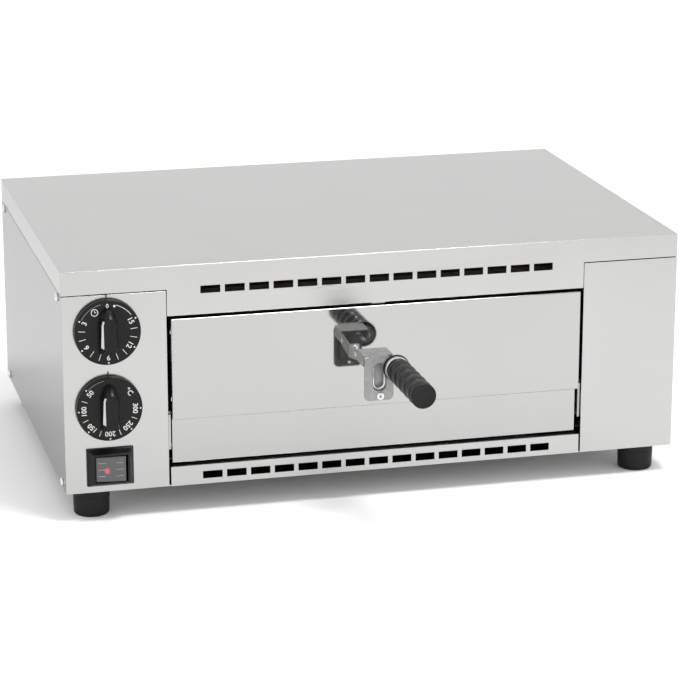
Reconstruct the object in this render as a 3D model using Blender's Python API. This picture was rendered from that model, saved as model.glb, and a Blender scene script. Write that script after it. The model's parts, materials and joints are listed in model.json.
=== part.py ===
"""Countertop pizza oven: a stainless casing with a control column, a pull-out rack behind a drawer front
with a ribbed handle, and a crumb tray below it.

Metres, +Z up, front towards -Y. The origin is on the bench, under the middle of the whole object.
Places are given from the body's front lower left corner with at(x, y, z), so y < 0 is in front of the body.
"""
import math

import bmesh
import bpy
from mathutils import Matrix, Vector

# Driving dimensions of the body
BODY_W = 0.580
BODY_D = 0.388
BODY_H = 0.207
FOOT_H = 0.027
HANDLE_REACH = 0.148  # from the front plane to the end of the grip
GLAND_REACH = 0.014  # from the back to the end of the cable gland
SHEET = 0.001
GAP = 0.0003  # between faces that touch on the real oven

# The casing's front
LIP_H = 0.022  # the cover's lip, all round
SEAM = 0.0007
SEAM_Z = BODY_H - LIP_H
APRON_Z = 0.1605  # the cover's lower edge over the drawer
OPEN_L = 0.0947
OPEN_W = 0.394
OPEN_R = OPEN_L + OPEN_W
OPEN_C = OPEN_L + OPEN_W / 2
RETURN_D = 0.018  # how far a column's inner flange runs back
FASCIA_H = 0.0182
FASCIA_GAP = 0.0017

# Air slots
SLOT_COUNT = 15
SLOT_W = 0.0183
SLOT_H = 0.007
SLOT_PITCH = 0.0224
TOP_SLOTS_Z = 0.1835
LOW_SLOTS_Z = 0.0085

# Controls, all on one upright line
CONTROL_X = 0.0404
TIMER_Z = 0.1509
THERMOSTAT_Z = 0.0798
SWITCH_Z = 0.0242
SPINDLE_R = 0.003
DIAL_R = 0.030
SWITCH_TILT = math.radians(5)

# Cooking chamber, outside
CHAMBER_L = OPEN_L - 0.0007
CHAMBER_R = OPEN_R + 0.0007
CHAMBER_Y = (0.019, 0.345)
CHAMBER_Z = (0.0195, 0.160)
LOWER_ELEMENT_Z = 0.050
UPPER_ELEMENT_Z = 0.146
ELEMENT_R = 0.00325
ELEMENT_RUNS = 6
ELEMENT_PITCH = 0.058
BUSH_R = 0.0065
BULB_Y = 0.200
BULB_Z = 0.154

# Drawer and crumb tray
DRAWER_W = 0.387
DRAWER_Z = (0.0633, 0.1579)
DRAWER_PROUD = 0.002
DRAWER_FOLD = 0.010
TRAY_FRONT_W = 0.3856
TRAY_FRONT_Z = (0.0203, 0.0626)
TRAY_FRONT_Y = 0.0061
RUNNER_Z = (0.0345, 0.0675)
RUNNER_T = 0.002
ARM_T = 0.0015
ARM_H = 0.0145
RACK_END_Y = 0.338
RIVET_ZS = (0.082, 0.145)

# Handle
GRIP_X = 0.2917
GRIP_Z = 0.115
GRIP_R = 0.0115
GRIP_RIBS = 5
BRACKET_X = (0.2625, 0.2895)
BRACKET_TOP = 0.127
BRACKET_FRONT = -0.058
BRACKET_T = 0.0015
ROD_R = 0.004

# Fasteners and feet
FOOT_R = 0.017
FOOT_XS = (0.0265, BODY_W - 0.0265)
FOOT_YS = (0.025, BODY_D - 0.025)
SIDE_SCREW_YS = (0.020, BODY_D - 0.020)
SIDE_SCREW_ZS = (0.006, 0.180)
REAR_SCREW_XS = (0.008, BODY_W / 2, BODY_W - 0.008)
REAR_SCREW_ZS = (0.010, 0.176)
GLAND_X = 0.060
GLAND_Z = 0.060

SMOOTH_ANGLE = math.radians(35)
ORIGIN = Vector((
    BODY_W / 2,
    (BODY_D + GLAND_REACH - HANDLE_REACH) / 2,
    -FOOT_H,
))


# ---------------------------------------------------------------- helpers

def at(x, y, z):
    """A point given from the body's front lower left corner."""
    return Vector((x, y, z)) - ORIGIN


def mirrored(x):
    """The same distance on the other side of the drawer's middle."""
    return 2 * OPEN_C - x


def clear_scene():
    for obj in list(bpy.data.objects):
        bpy.data.objects.remove(obj, do_unlink=True)


def linear(channel):
    if channel <= 0.04045:
        return channel / 12.92
    return ((channel + 0.055) / 1.055) ** 2.4


def material(name, hex_colour, roughness, metallic=0.0):
    found = bpy.data.materials.get(name)
    if found:
        return found
    made = bpy.data.materials.new(name)
    made.use_nodes = True
    shader = made.node_tree.nodes["Principled BSDF"]
    parts = [int(hex_colour[i:i + 2], 16) / 255 for i in (1, 3, 5)]
    shader.inputs["Base Color"].default_value = [linear(c) for c in parts] + [1.0]
    shader.inputs["Roughness"].default_value = roughness
    shader.inputs["Metallic"].default_value = metallic
    return made


def stainless():
    return material("stainless_steel", "#C8CACB", 0.28, 1.0)


def aluminised():
    return material("aluminised_steel", "#A9ABAD", 0.45, 1.0)


def galvanised():
    return material("galvanised_steel", "#96999B", 0.42, 1.0)


def bright_steel():
    return material("bright_steel", "#D9DADB", 0.18, 1.0)


def black_plastic():
    return material("black_plastic", "#202022", 0.38)


def black_rubber():
    return material("black_rubber", "#1C1C1D", 0.75)


def mineral_wool():
    return material("mineral_wool", "#CFC6A8", 0.95)


def ceramic():
    return material("ceramic", "#E9E4D8", 0.4)


def link(name, data, mat):
    data.materials.append(mat)
    obj = bpy.data.objects.new(name, data)
    bpy.context.scene.collection.objects.link(obj)
    return obj


def solid(name, bm, mat, smooth=False):
    """Turns a bmesh into a named object."""
    mesh = bpy.data.meshes.new(name)
    bm.to_mesh(mesh)
    bm.free()
    if smooth:
        mesh.shade_smooth()
        mesh.set_sharp_from_angle(angle=SMOOTH_ANGLE)
    return link(name, mesh, mat)


def tool(name, bm):
    """A hidden shape that a Boolean modifier uses."""
    obj = solid(name, bm, galvanised())
    obj.hide_render = True
    obj.display_type = "WIRE"
    return obj


def boolean(obj, other, operation):
    step = obj.modifiers.new(other.name, "BOOLEAN")
    step.object = other
    step.operation = operation
    step.solver = "EXACT"


def cut(obj, other):
    boolean(obj, other, "DIFFERENCE")


def join(obj, other):
    boolean(obj, other, "UNION")


def box_in(bm, low, high):
    middle = (low + high) / 2
    size = high - low
    place = Matrix.Translation(middle) @ Matrix.Diagonal((*size, 1.0))
    bmesh.ops.create_cube(bm, size=1.0, matrix=place)


def box(name, low, high, mat):
    bm = bmesh.new()
    box_in(bm, low, high)
    return solid(name, bm, mat)


def along(direction):
    """Turns +Z into the given direction."""
    return Vector(direction).to_track_quat("Z", "Y").to_matrix().to_4x4()


def rod_in(bm, start, end, radius, sides=12):
    run = end - start
    place = Matrix.Translation((start + end) / 2) @ along(run)
    bmesh.ops.create_cone(
        bm, cap_ends=True, segments=sides, radius1=radius, radius2=radius,
        depth=run.length, matrix=place,
    )


def turned_in(bm, profile, base, axis, sides=16, ring=False):
    """Turns (radius, height) points about an axis. A ring's profile closes on itself round a bore."""
    part = bmesh.new()
    verts = [part.verts.new((r, 0, h)) for r, h in profile]
    pairs = list(zip(verts, verts[1:]))
    if ring:
        pairs.append((verts[-1], verts[0]))
    edges = [part.edges.new(pair) for pair in pairs]
    bmesh.ops.spin(
        part, geom=verts + edges, cent=(0, 0, 0), axis=(0, 0, 1),
        angle=math.tau, steps=sides, use_merge=True,
    )
    bmesh.ops.remove_doubles(part, verts=part.verts, dist=1e-6)
    bmesh.ops.recalc_face_normals(part, faces=part.faces)
    bmesh.ops.transform(part, matrix=Matrix.Translation(base) @ along(axis), verts=part.verts)
    carrier = bpy.data.meshes.new("carrier")
    part.to_mesh(carrier)
    part.free()
    bm.from_mesh(carrier)
    bpy.data.meshes.remove(carrier)


def turned(name, profile, base, axis, mat, sides=16, ring=False):
    bm = bmesh.new()
    turned_in(bm, profile, base, axis, sides, ring)
    return solid(name, bm, mat, smooth=True)


def loft_in(bm, rings):
    """Joins rings of equal point counts into one solid, closed at both ends."""
    loops = [[bm.verts.new(p) for p in ring] for ring in rings]
    count = len(loops[0])
    for near, far in zip(loops, loops[1:]):
        for i in range(count):
            j = (i + 1) % count
            bm.faces.new((near[i], near[j], far[j], far[i]))
    bm.faces.new(loops[0])
    bm.faces.new(loops[-1])
    bmesh.ops.recalc_face_normals(bm, faces=bm.faces)


def extruded(name, outline, run, mat):
    """An outline of points carried along a run."""
    bm = bmesh.new()
    loft_in(bm, [outline, [p + run for p in outline]])
    return solid(name, bm, mat)


def tube(name, paths, radius, mat, resolution=2, radii=None):
    """Round tubes or wires along lists of points."""
    curve = bpy.data.curves.new(name, "CURVE")
    curve.dimensions = "3D"
    curve.bevel_depth = radius
    curve.bevel_resolution = resolution
    curve.use_fill_caps = True
    for path in paths:
        spline = curve.splines.new("POLY")
        spline.points.add(len(path) - 1)
        for i, (point, place) in enumerate(zip(spline.points, path)):
            point.co = (*place, 1.0)
            if radii:
                point.radius = radii[i]
    return link(name, curve, mat)


def smooth_route(stops, steps=5):
    """Points on a smooth curve through all the stops."""
    ends = [2 * stops[0] - stops[1]] + stops + [2 * stops[-1] - stops[-2]]
    route = []
    for a, b, c, d in zip(ends, ends[1:], ends[2:], ends[3:]):
        for i in range(steps):
            t = i / steps
            route.append(0.5 * (
                2 * b + (c - a) * t + (2 * a - 5 * b + 4 * c - d) * t ** 2
                + (3 * b - a - 3 * c + d) * t ** 3
            ))
    return route + [stops[-1]]


# ---------------------------------------------------------------- folded sheet

def blank(bm, outline):
    """The flat middle of a folded part."""
    return bm.faces.new([bm.verts.new(p) for p in outline])


def rim(bm, test):
    """Free edges whose two ends both pass a test on their place from the body's corner."""
    return [
        e for e in bm.edges
        if e.is_boundary and all(test(v.co + ORIGIN) for v in e.verts)
    ]


def fold(bm, edges, run):
    """Draws edges out into a flange and returns its free edges."""
    grown = bmesh.ops.extrude_edge_only(bm, edges=edges)["geom"]
    tips = [g for g in grown if isinstance(g, bmesh.types.BMVert)]
    bmesh.ops.translate(bm, verts=tips, vec=run)
    return [
        g for g in grown
        if isinstance(g, bmesh.types.BMEdge) and all(v in tips for v in g.verts)
    ]


def sheet(name, bm, outward, mat, thickness=SHEET):
    """Gives folded faces their thickness, inwards. Outward is the first face's outer side."""
    bmesh.ops.recalc_face_normals(bm, faces=bm.faces)
    bm.faces.ensure_lookup_table()
    if bm.faces[0].normal.dot(Vector(outward)) < 0:
        bmesh.ops.reverse_faces(bm, faces=bm.faces)
    obj = solid(name, bm, mat)
    wall = obj.modifiers.new("sheet", "SOLIDIFY")
    wall.thickness = thickness
    wall.solidify_mode = "NON_MANIFOLD"
    wall.nonmanifold_thickness_mode = "CONSTRAINTS"
    wall.offset = -1.0
    return obj


def close(a, b):
    return abs(a - b) < 1e-5


def slots(name, z, y):
    """A row of air slots, cut through a sheet at depth y."""
    bm = bmesh.new()
    first = OPEN_C - SLOT_PITCH * (SLOT_COUNT - 1) / 2
    for i in range(SLOT_COUNT):
        x = first + i * SLOT_PITCH
        low = at(x - SLOT_W / 2, y - 0.003, z - SLOT_H / 2)
        high = at(x + SLOT_W / 2, y + 0.003, z + SLOT_H / 2)
        box_in(bm, low, high)
    return tool(name, bm)


def drill(obj, name, places, axis, radius, depth=0.008, sides=12):
    """Cuts round holes along an axis, each centred on its place."""
    bm = bmesh.new()
    half = Vector(axis).normalized() * depth / 2
    for place in places:
        rod_in(bm, place - half, place + half, radius, sides)
    cut(obj, tool(name, bm))


# ---------------------------------------------------------------- casing

def cover_tab(side, y):
    """A joggled tab inside the cover's lip, which an upper side screw holds."""
    outline = (
        (0.0006, SEAM_Z + 0.0012), (0.0006, SEAM_Z + 0.010), (0.0023, SEAM_Z + 0.010),
        (0.0023, SEAM_Z - 0.013), (0.0013, SEAM_Z - 0.013), (0.0013, SEAM_Z + 0.0012),
    )
    points = [at(x if side == "left" else BODY_W - x, y - 0.008, z) for x, z in outline]
    bm = bmesh.new()
    loft_in(bm, [points, [p + Vector((0, 0.016, 0)) for p in points]])
    return tool(f"cover_tab_{side}_{round(y * 1000)}", bm)


def build_top_cover():
    bm = bmesh.new()
    xs = (0.0, OPEN_L + GAP, OPEN_R - GAP, BODY_W)
    for x0, x1 in zip(xs, xs[1:]):
        blank(bm, [at(x0, 0, BODY_H), at(x1, 0, BODY_H), at(x1, BODY_D, BODY_H), at(x0, BODY_D, BODY_H)])
    bmesh.ops.remove_doubles(bm, verts=bm.verts, dist=1e-6)
    fold(bm, rim(bm, lambda p: True), (0, 0, -LIP_H))
    over_opening = rim(bm, lambda p: close(p.y, 0) and 0.01 < p.x < BODY_W - 0.01)
    hem = fold(bm, over_opening, (0, 0, APRON_Z - SEAM_Z))
    fold(bm, hem, (0, 0.012, 0))
    cover = sheet("top_cover", bm, (0, 0, 1), stainless())
    for side in ("left", "right"):
        for y in SIDE_SCREW_YS:
            join(cover, cover_tab(side, y))
    cut(cover, slots("top_slots", TOP_SLOTS_Z, 0))
    places = [at(x, y, SIDE_SCREW_ZS[1]) for x in (0.0018, BODY_W - 0.0018) for y in SIDE_SCREW_YS]
    drill(cover, "tab_holes", places, (1, 0, 0), 0.0022, 0.003)


def build_side_panel(name, side):
    """A side wall that wraps round the front as a column, with its inner edge turned back."""
    def from_side(x):
        return x if side == "left" else BODY_W - x

    inner = OPEN_L if side == "left" else BODY_W - OPEN_R
    length = BODY_D - SHEET - GAP
    top = SEAM_Z - SEAM
    step = 0.0025  # the turned edges stop this far above the base pan
    bm = bmesh.new()
    for z0, z1 in ((0, step), (step, top)):
        blank(bm, [at(from_side(0), y, z) for y, z in ((0, z0), (length, z0), (length, z1), (0, z1))])
    bmesh.ops.remove_doubles(bm, verts=bm.verts, dist=1e-6)
    inward = 1 if side == "left" else -1
    fold(bm, rim(bm, lambda p: close(p.y, length) and p.z > step / 2), (0.015 * inward, 0, 0))
    fold(bm, rim(bm, lambda p: close(p.y, 0)), (inner * inward, 0, 0))
    column_edge = rim(bm, lambda p: close(p.x, from_side(inner)) and p.z > step / 2)
    fold(bm, column_edge, (0, RETURN_D, 0))
    panel = sheet(name, bm, (-inward, 0, 0), stainless())
    places = [at(from_side(0), y, z) for y in SIDE_SCREW_YS for z in SIDE_SCREW_ZS]
    drill(panel, f"{name}_screw_holes", places, (1, 0, 0), 0.0022, 0.004)
    places = [at(from_side(REAR_SCREW_XS[0]), BODY_D, z) for z in REAR_SCREW_ZS]
    drill(panel, f"{name}_rear_holes", places, (0, 1, 0), 0.0022, 0.010)
    return panel


def build_control_column():
    panel = build_side_panel("left_side_panel", "left")
    places = [at(CONTROL_X, 0, z) for z in (TIMER_Z, THERMOSTAT_Z)]
    drill(panel, "spindle_holes", places, (0, 1, 0), 0.0055, sides=16)
    bm = bmesh.new()
    low, high = (at(CONTROL_X + s * 0.0185, s * 0.003, SWITCH_Z + s * 0.015) for s in (-1, 1))
    box_in(bm, low, high)
    cut(panel, tool("switch_cut_out", bm))


def build_base_pan():
    edge = SHEET + GAP
    x0, x1 = edge, BODY_W - edge
    f0, f1 = OPEN_L + FASCIA_GAP, OPEN_R - FASCIA_GAP
    r0, r1 = 0.017, BODY_W - 0.017
    back = BODY_D - SHEET - GAP
    bm = bmesh.new()
    outline = (
        (x0, edge), (f0, edge), (f0, 0), (f1, 0), (f1, edge), (x1, edge), (x1, 0.003),
        (x1, back - 0.003), (x1, back), (r1, back), (r0, back), (x0, back), (x0, back - 0.003), (x0, 0.003),
    )
    blank(bm, [at(x, y, 0) for x, y in outline])
    fascia = fold(bm, rim(bm, lambda p: close(p.y, 0)), (0, 0, FASCIA_H))
    fold(bm, fascia, (0, 0.009, 0))
    sides = rim(bm, lambda p: (close(p.x, x0) or close(p.x, x1)) and 0.002 < p.y < back - 0.002)
    fold(bm, sides, (0, 0, 0.020))
    fold(bm, rim(bm, lambda p: close(p.y, back) and r0 - 0.001 < p.x < r1 + 0.001), (0, 0, 0.020))
    pan = sheet("base_pan", bm, (0, 0, -1), stainless())
    cut(pan, slots("low_slots", LOW_SLOTS_Z, 0))
    drill(pan, "foot_holes", [at(x, y, 0) for x in FOOT_XS for y in FOOT_YS], (0, 0, 1), 0.0024)
    places = [at(x, y, SIDE_SCREW_ZS[0]) for x in (0.0018, BODY_W - 0.0018) for y in SIDE_SCREW_YS]
    drill(pan, "pan_side_holes", places, (1, 0, 0), 0.0022, 0.003)
    drill(pan, "pan_rear_hole", [at(REAR_SCREW_XS[1], back, REAR_SCREW_ZS[0])], (0, 1, 0), 0.0022)


def build_rear_panel():
    low, high = at(0, BODY_D - SHEET, 0), at(BODY_W, BODY_D, SEAM_Z - SEAM)
    panel = box("rear_panel", low, high, stainless())
    cut(panel, slots("rear_top_slots", 0.160, BODY_D))
    cut(panel, slots("rear_low_slots", 0.030, BODY_D))
    places = [at(x, BODY_D, z) for x, z in rear_screw_places()]
    drill(panel, "rear_panel_holes", places, (0, 1, 0), 0.0022)
    drill(panel, "gland_hole", [at(GLAND_X, BODY_D, GLAND_Z)], (0, 1, 0), 0.0064, sides=16)


def rear_screw_places():
    corners = [(x, z) for x in (REAR_SCREW_XS[0], REAR_SCREW_XS[2]) for z in REAR_SCREW_ZS]
    return corners + [(REAR_SCREW_XS[1], REAR_SCREW_ZS[0])]


def build_side_screws():
    """Dome-headed screws, four through each side panel. Each head stands just off the sheet."""
    profile = (
        (0.0, -0.007), (0.0018, -0.007), (0.0018, 0.0), (0.0040, 0.0), (0.0040, 0.0006), (0.0030, 0.0017),
        (0.0014, 0.0022), (0.0, 0.0023),
    )
    for side, x, out in (("left", -GAP, -1), ("right", BODY_W + GAP, 1)):
        for y, end in zip(SIDE_SCREW_YS, ("front", "rear")):
            for z, level in zip(SIDE_SCREW_ZS, ("low", "top")):
                turned(f"screw_{side}_{end}_{level}", profile, at(x, y, z), (out, 0, 0), bright_steel(), 12)


def build_feet():
    """Rubber feet with a stepped bore for the bolt that holds each to the base pan."""
    profile = (
        (0.006, 0.0), (0.0140, 0.0), (0.0157, 0.0007), (0.0163, 0.0025), (FOOT_R, FOOT_H - GAP),
        (0.0024, FOOT_H - GAP), (0.0024, 0.012), (0.006, 0.012),
    )
    for x, side in zip(FOOT_XS, ("left", "right")):
        for y, end in zip(FOOT_YS, ("front", "rear")):
            place = at(x, y, -FOOT_H)
            turned(f"foot_{end}_{side}", profile, place, (0, 0, 1), black_rubber(), 24, ring=True)


def build_cable_gland():
    """The gland that a supply lead enters by, with its nut inside the rear panel."""
    bore = 0.0038
    profile = (
        (bore, -0.0070), (0.0085, -0.0070), (0.0085, -0.0013), (0.0060, -0.0013), (0.0060, 0.0003),
        (0.0095, 0.0003), (0.0095, 0.0050), (0.0082, 0.0056), (0.0070, 0.0130), (0.0062, GLAND_REACH),
        (bore, GLAND_REACH),
    )
    turned("cable_gland", profile, at(GLAND_X, BODY_D, GLAND_Z), (0, 1, 0), black_plastic(), 16, ring=True)


# ---------------------------------------------------------------- chamber and heat

def element_end_xs():
    span = ELEMENT_PITCH * (ELEMENT_RUNS - 1)
    return OPEN_C - span / 2, OPEN_C + span / 2


def element_path(z):
    """Six runs from the rear wall to the front and back, joined by half circles."""
    radius = ELEMENT_PITCH / 2
    front, back = 0.062, 0.292
    first, last = element_end_xs()
    path = [at(first, 0.3745, z), at(first, front, z)]
    for turn in range(ELEMENT_RUNS - 1):
        centre_x = first + radius + turn * ELEMENT_PITCH
        centre_y, sign = (front, -1) if turn % 2 == 0 else (back, 1)
        for i in range(1, 7):
            angle = math.pi * (1 - i / 6)
            path.append(at(
                centre_x + radius * math.cos(angle), centre_y + sign * radius * math.sin(angle), z,
            ))
        if turn < ELEMENT_RUNS - 2:
            next_y = back if turn % 2 == 0 else front
            path.append(at(centre_x + radius, next_y, z))
    return path + [at(last, 0.3745, z)]


def build_elements():
    for name, z in (("upper_element", UPPER_ELEMENT_Z), ("lower_element", LOWER_ELEMENT_Z)):
        tube(name, [element_path(z)], ELEMENT_R, material("element_sheath", "#4E4A47", 0.5, 0.9))


def build_element_bars():
    """Cross bars that carry each element at mid depth."""
    inset = 0.0033
    for name, z in (("upper_element_bar", UPPER_ELEMENT_Z), ("lower_element_bar", LOWER_ELEMENT_Z)):
        top = z - ELEMENT_R - GAP
        low = at(OPEN_L + inset, 0.174, top - 0.003)
        box(name, low, at(OPEN_R - inset, 0.186, top), aluminised())


def bush_places():
    """Where each element's two ends leave through the chamber's rear wall."""
    y = CHAMBER_Y[1] - SHEET - GAP
    return {
        f"{level}_bush_{side}": at(x, y, z)
        for level, z in (("upper", UPPER_ELEMENT_Z), ("lower", LOWER_ELEMENT_Z))
        for side, x in zip(("left", "right"), element_end_xs())
    }


def build_bushes():
    profile = (
        (0.0036, -0.004), (0.0090, -0.004), (0.0090, 0.0), (BUSH_R, 0.0), (BUSH_R, 0.023), (0.0036, 0.023),
    )
    for name, place in bush_places().items():
        turned(name, profile, place, (0, 1, 0), ceramic(), 12, ring=True)


def build_chamber():
    bm = bmesh.new()
    x0, x1 = CHAMBER_L, CHAMBER_R
    y0, y1 = CHAMBER_Y
    z0, z1 = CHAMBER_Z
    blank(bm, [at(x0, y1, z0), at(x1, y1, z0), at(x1, y1, z1), at(x0, y1, z1)])
    fold(bm, rim(bm, lambda p: True), (0, y0 - y1, 0))
    shell = sheet("chamber_shell", bm, (0, 1, 0), aluminised())
    drill(shell, "chamber_bush_holes", list(bush_places().values()), (0, 1, 0), BUSH_R + 0.0004)
    drill(shell, "chamber_bulb_hole", [at(x0, BULB_Y, BULB_Z)], (1, 0, 0), 0.0032)


def build_insulation():
    """Mineral wool between the chamber and the casing: one blanket over it, and a slab behind it."""
    y0, y1 = 0.022, CHAMBER_Y[1] - 0.001
    low, top, crown = CHAMBER_Z[0] + 0.001, CHAMBER_Z[1] + 0.0005, 0.1780
    side, thick = 0.0004, 0.0146
    x0, x1 = CHAMBER_L - side, CHAMBER_R + side
    outline = [at(x, y0, z) for x, z in (
        (x0 - thick, low), (x0, low), (x0, top), (x1, top), (x1, low), (x1 + thick, low),
        (x1 + thick, crown), (x0 - thick, crown),
    )]
    blanket = extruded("insulation_blanket", outline, Vector((0, y1 - y0, 0)), mineral_wool())
    drill(blanket, "blanket_bulb_hole", [at(x0 - thick / 2, BULB_Y, BULB_Z)], (1, 0, 0), 0.0020, 0.030, 8)
    y1 = CHAMBER_Y[1] + 0.0005
    low_corner, high_corner = at(CHAMBER_L, y1, low), at(CHAMBER_R, y1 + 0.0175, top)
    slab = box("insulation_rear", low_corner, high_corner, mineral_wool())
    drill(slab, "slab_bush_holes", list(bush_places().values()), (0, 1, 0), BUSH_R + 0.0004, 0.060)


def build_heat_shield():
    """An upright sheet that keeps the chamber's heat off the controls."""
    x = 0.077
    bm = bmesh.new()
    blank(bm, [at(x, y, z) for y, z in ((0.003, 0.0013), (0.364, 0.0013), (0.364, 0.200), (0.003, 0.200))])
    fold(bm, rim(bm, lambda p: p.z < 0.002), (-0.012, 0, 0))
    shield = sheet("heat_shield", bm, (1, 0, 0), aluminised())
    drill(shield, "shield_bulb_hole", [at(x, BULB_Y, BULB_Z)], (1, 0, 0), 0.0020, 0.010, 8)


def build_runners():
    """C-shaped rails on the chamber's walls: the rack's arms slide on top, the tray's lips hang inside."""
    front, ledge_y, back = 0.003, 0.013, 0.330
    wall = OPEN_L + 0.0006
    for side in ("left", "right"):
        def across(x):
            return x if side == "left" else mirrored(x)

        bm = bmesh.new()
        for y0, y1 in ((front, ledge_y), (ledge_y, back)):
            corners = ((y0, RUNNER_Z[0]), (y1, RUNNER_Z[0]), (y1, RUNNER_Z[1]), (y0, RUNNER_Z[1]))
            blank(bm, [at(across(wall), y, z) for y, z in corners])
        bmesh.ops.remove_doubles(bm, verts=bm.verts, dist=1e-6)
        ledges = rim(
            bm, lambda p: p.y > ledge_y - 0.001 and not RUNNER_Z[0] < p.z - 1e-4 < RUNNER_Z[1] - 2e-4,
        )
        ledges = [e for e in ledges if close(e.verts[0].co.z, e.verts[1].co.z)]
        inward = 0.006 if side == "left" else -0.006
        fold(bm, ledges, (inward, 0, 0))
        sheet(f"runner_{side}", bm, (-inward, 0, 0), stainless(), RUNNER_T)


# ---------------------------------------------------------------- controls and wiring

def drilled_case(name, low, high, z, mat):
    """A control's case with a blind bore for its spindle."""
    case = box(name, low, high, mat)
    drill(case, f"{name}_bore", [at(CONTROL_X, 0.0013, z)], (0, 1, 0), SPINDLE_R + 0.0004, 0.040, 16)


def build_control_cases():
    grey = material("control_case", "#8C8A84", 0.5)
    y0 = SHEET + GAP
    for name, z, half_w, half_h, depth in (
        ("timer_movement", TIMER_Z, 0.022, 0.022, 0.040),
        ("thermostat_body", THERMOSTAT_Z, 0.018, 0.017, 0.030),
    ):
        low = at(CONTROL_X - half_w, y0, z - half_h)
        drilled_case(name, low, at(CONTROL_X + half_w, y0 + depth, z + half_h), z, grey)


def pointer_outline(y, z, half_width, low, high, shoulder):
    """A flat-footed outline whose upper end closes in a pointed arch."""
    points = [at(CONTROL_X - half_width, y, z + low), at(CONTROL_X + half_width, y, z + low)]
    steps = 8
    for i in range(steps + 1):
        angle = math.pi * i / steps
        points.append(at(
            CONTROL_X + half_width * math.cos(angle), y,
            z + shoulder + (high - shoulder) * math.sin(angle),
        ))
    return points


def build_knob(name, z):
    """A dial skirt with a raised pointer bar, on a stub that takes the spindle."""
    back, rim_y, face = -0.0008, -0.0050, -0.0058
    skirt = (
        (0.0, back), (DIAL_R - 0.001, back), (DIAL_R, back - 0.0008), (DIAL_R, rim_y),
        (DIAL_R - 0.0009, face), (0.0, face),
    )
    profile = [(r, -h) for r, h in skirt]
    knob = turned(name, profile, at(CONTROL_X, 0, z), (0, -1, 0), black_plastic(), 40)
    bm = bmesh.new()
    loft_in(bm, [
        pointer_outline(face + 0.0006, z, 0.0085, -0.0195, 0.0215, 0.004),
        pointer_outline(-0.0120, z, 0.0074, -0.0190, 0.0205, 0.004),
        pointer_outline(-0.0200, z, 0.0052, -0.0182, 0.0180, 0.003),
    ])
    join(knob, tool(f"{name}_bar", bm))
    drill(knob, f"{name}_bore", [at(CONTROL_X, -0.004, z)], (0, 1, 0), SPINDLE_R + 0.0004, 0.022, 16)


def build_knobs():
    for name, z in (("timer", TIMER_Z), ("thermostat", THERMOSTAT_Z)):
        build_knob(f"{name}_knob", z)
        bm = bmesh.new()
        rod_in(bm, at(CONTROL_X, -0.0145, z), at(CONTROL_X, 0.0180, z), SPINDLE_R)
        solid(f"{name}_spindle", bm, bright_steel(), smooth=True)


def rectangle(y, half_w, half_h):
    return [
        at(CONTROL_X + sx * half_w, y, SWITCH_Z + sz * half_h)
        for sx, sz in ((-1, -1), (1, -1), (1, 1), (-1, 1))
    ]


def build_switch():
    """A rocker switch in a raised splash collar. Its rocker turns about an upright axis."""
    bm = bmesh.new()
    loft_in(bm, [
        rectangle(0.0280, 0.0180, 0.0145), rectangle(-GAP, 0.0180, 0.0145), rectangle(-GAP, 0.0215, 0.0178),
        rectangle(-0.0023, 0.0213, 0.0176), rectangle(-0.0028, 0.0204, 0.0168),
        rectangle(-0.0095, 0.0166, 0.0140), rectangle(-0.0095, 0.0148, 0.0123),
        rectangle(0.0060, 0.0148, 0.0123),
    ])
    solid("switch_housing", bm, black_plastic())
    bm = bmesh.new()
    loft_in(bm, [rectangle(y, w, h) for y, w, h in (
        (0.0030, 0.0137, 0.0118), (-0.0094, 0.0137, 0.0118), (-0.0102, 0.0129, 0.0110),
    )])
    pivot = at(CONTROL_X, -0.0010, SWITCH_Z)
    turn = Matrix.Translation(pivot) @ Matrix.Rotation(-SWITCH_TILT, 4, "Z") @ Matrix.Translation(-pivot)
    bmesh.ops.transform(bm, matrix=turn, verts=bm.verts)
    solid("switch_rocker", bm, material("smoked_lens", "#6A6A6C", 0.25))


def build_thermostat_bulb():
    """The liquid-filled sensor: a bulb under the ceiling, and its fine tube to the thermostat."""
    lead = smooth_route([at(x, y, z) for x, y, z in (
        (CONTROL_X, 0.0320, 0.070), (CONTROL_X, 0.060, 0.070), (0.048, 0.120, 0.100), (0.056, 0.180, 0.146),
        (0.066, BULB_Y, BULB_Z), (0.075, BULB_Y, BULB_Z),
    )])
    bulb = [at(x, BULB_Y, BULB_Z) for x in (0.090, 0.1000, 0.1020, 0.1880, 0.1900)]
    radii = [1.0] * (len(lead) + 2) + [2.4, 2.4, 1.4]
    copper = material("copper_sensor", "#B88860", 0.35, 1.0)
    tube("thermostat_bulb", [lead + bulb], 0.0010, copper, 1, radii)


def build_wiring():
    """The terminal block and the sleeved loom that runs from it to the controls."""
    box("terminal_block", at(0.012, 0.320, 0.0014), at(0.062, 0.342, 0.0210), ceramic())
    stops = (
        (0.030, 0.331, 0.0240), (0.030, 0.326, 0.050), (0.024, 0.240, 0.095), (0.020, 0.120, 0.120),
        (0.021, 0.060, 0.118), (0.024, 0.034, 0.116),
    )
    tube("wiring_loom", [smooth_route([at(*stop) for stop in stops])], 0.0025, material(
        "glass_sleeve", "#B9B3A2", 0.8,
    ))


# ---------------------------------------------------------------- drawer

DRAWER_L = OPEN_C - DRAWER_W / 2
DRAWER_R = OPEN_C + DRAWER_W / 2
ARM_X = DRAWER_L + SHEET + GAP


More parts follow.
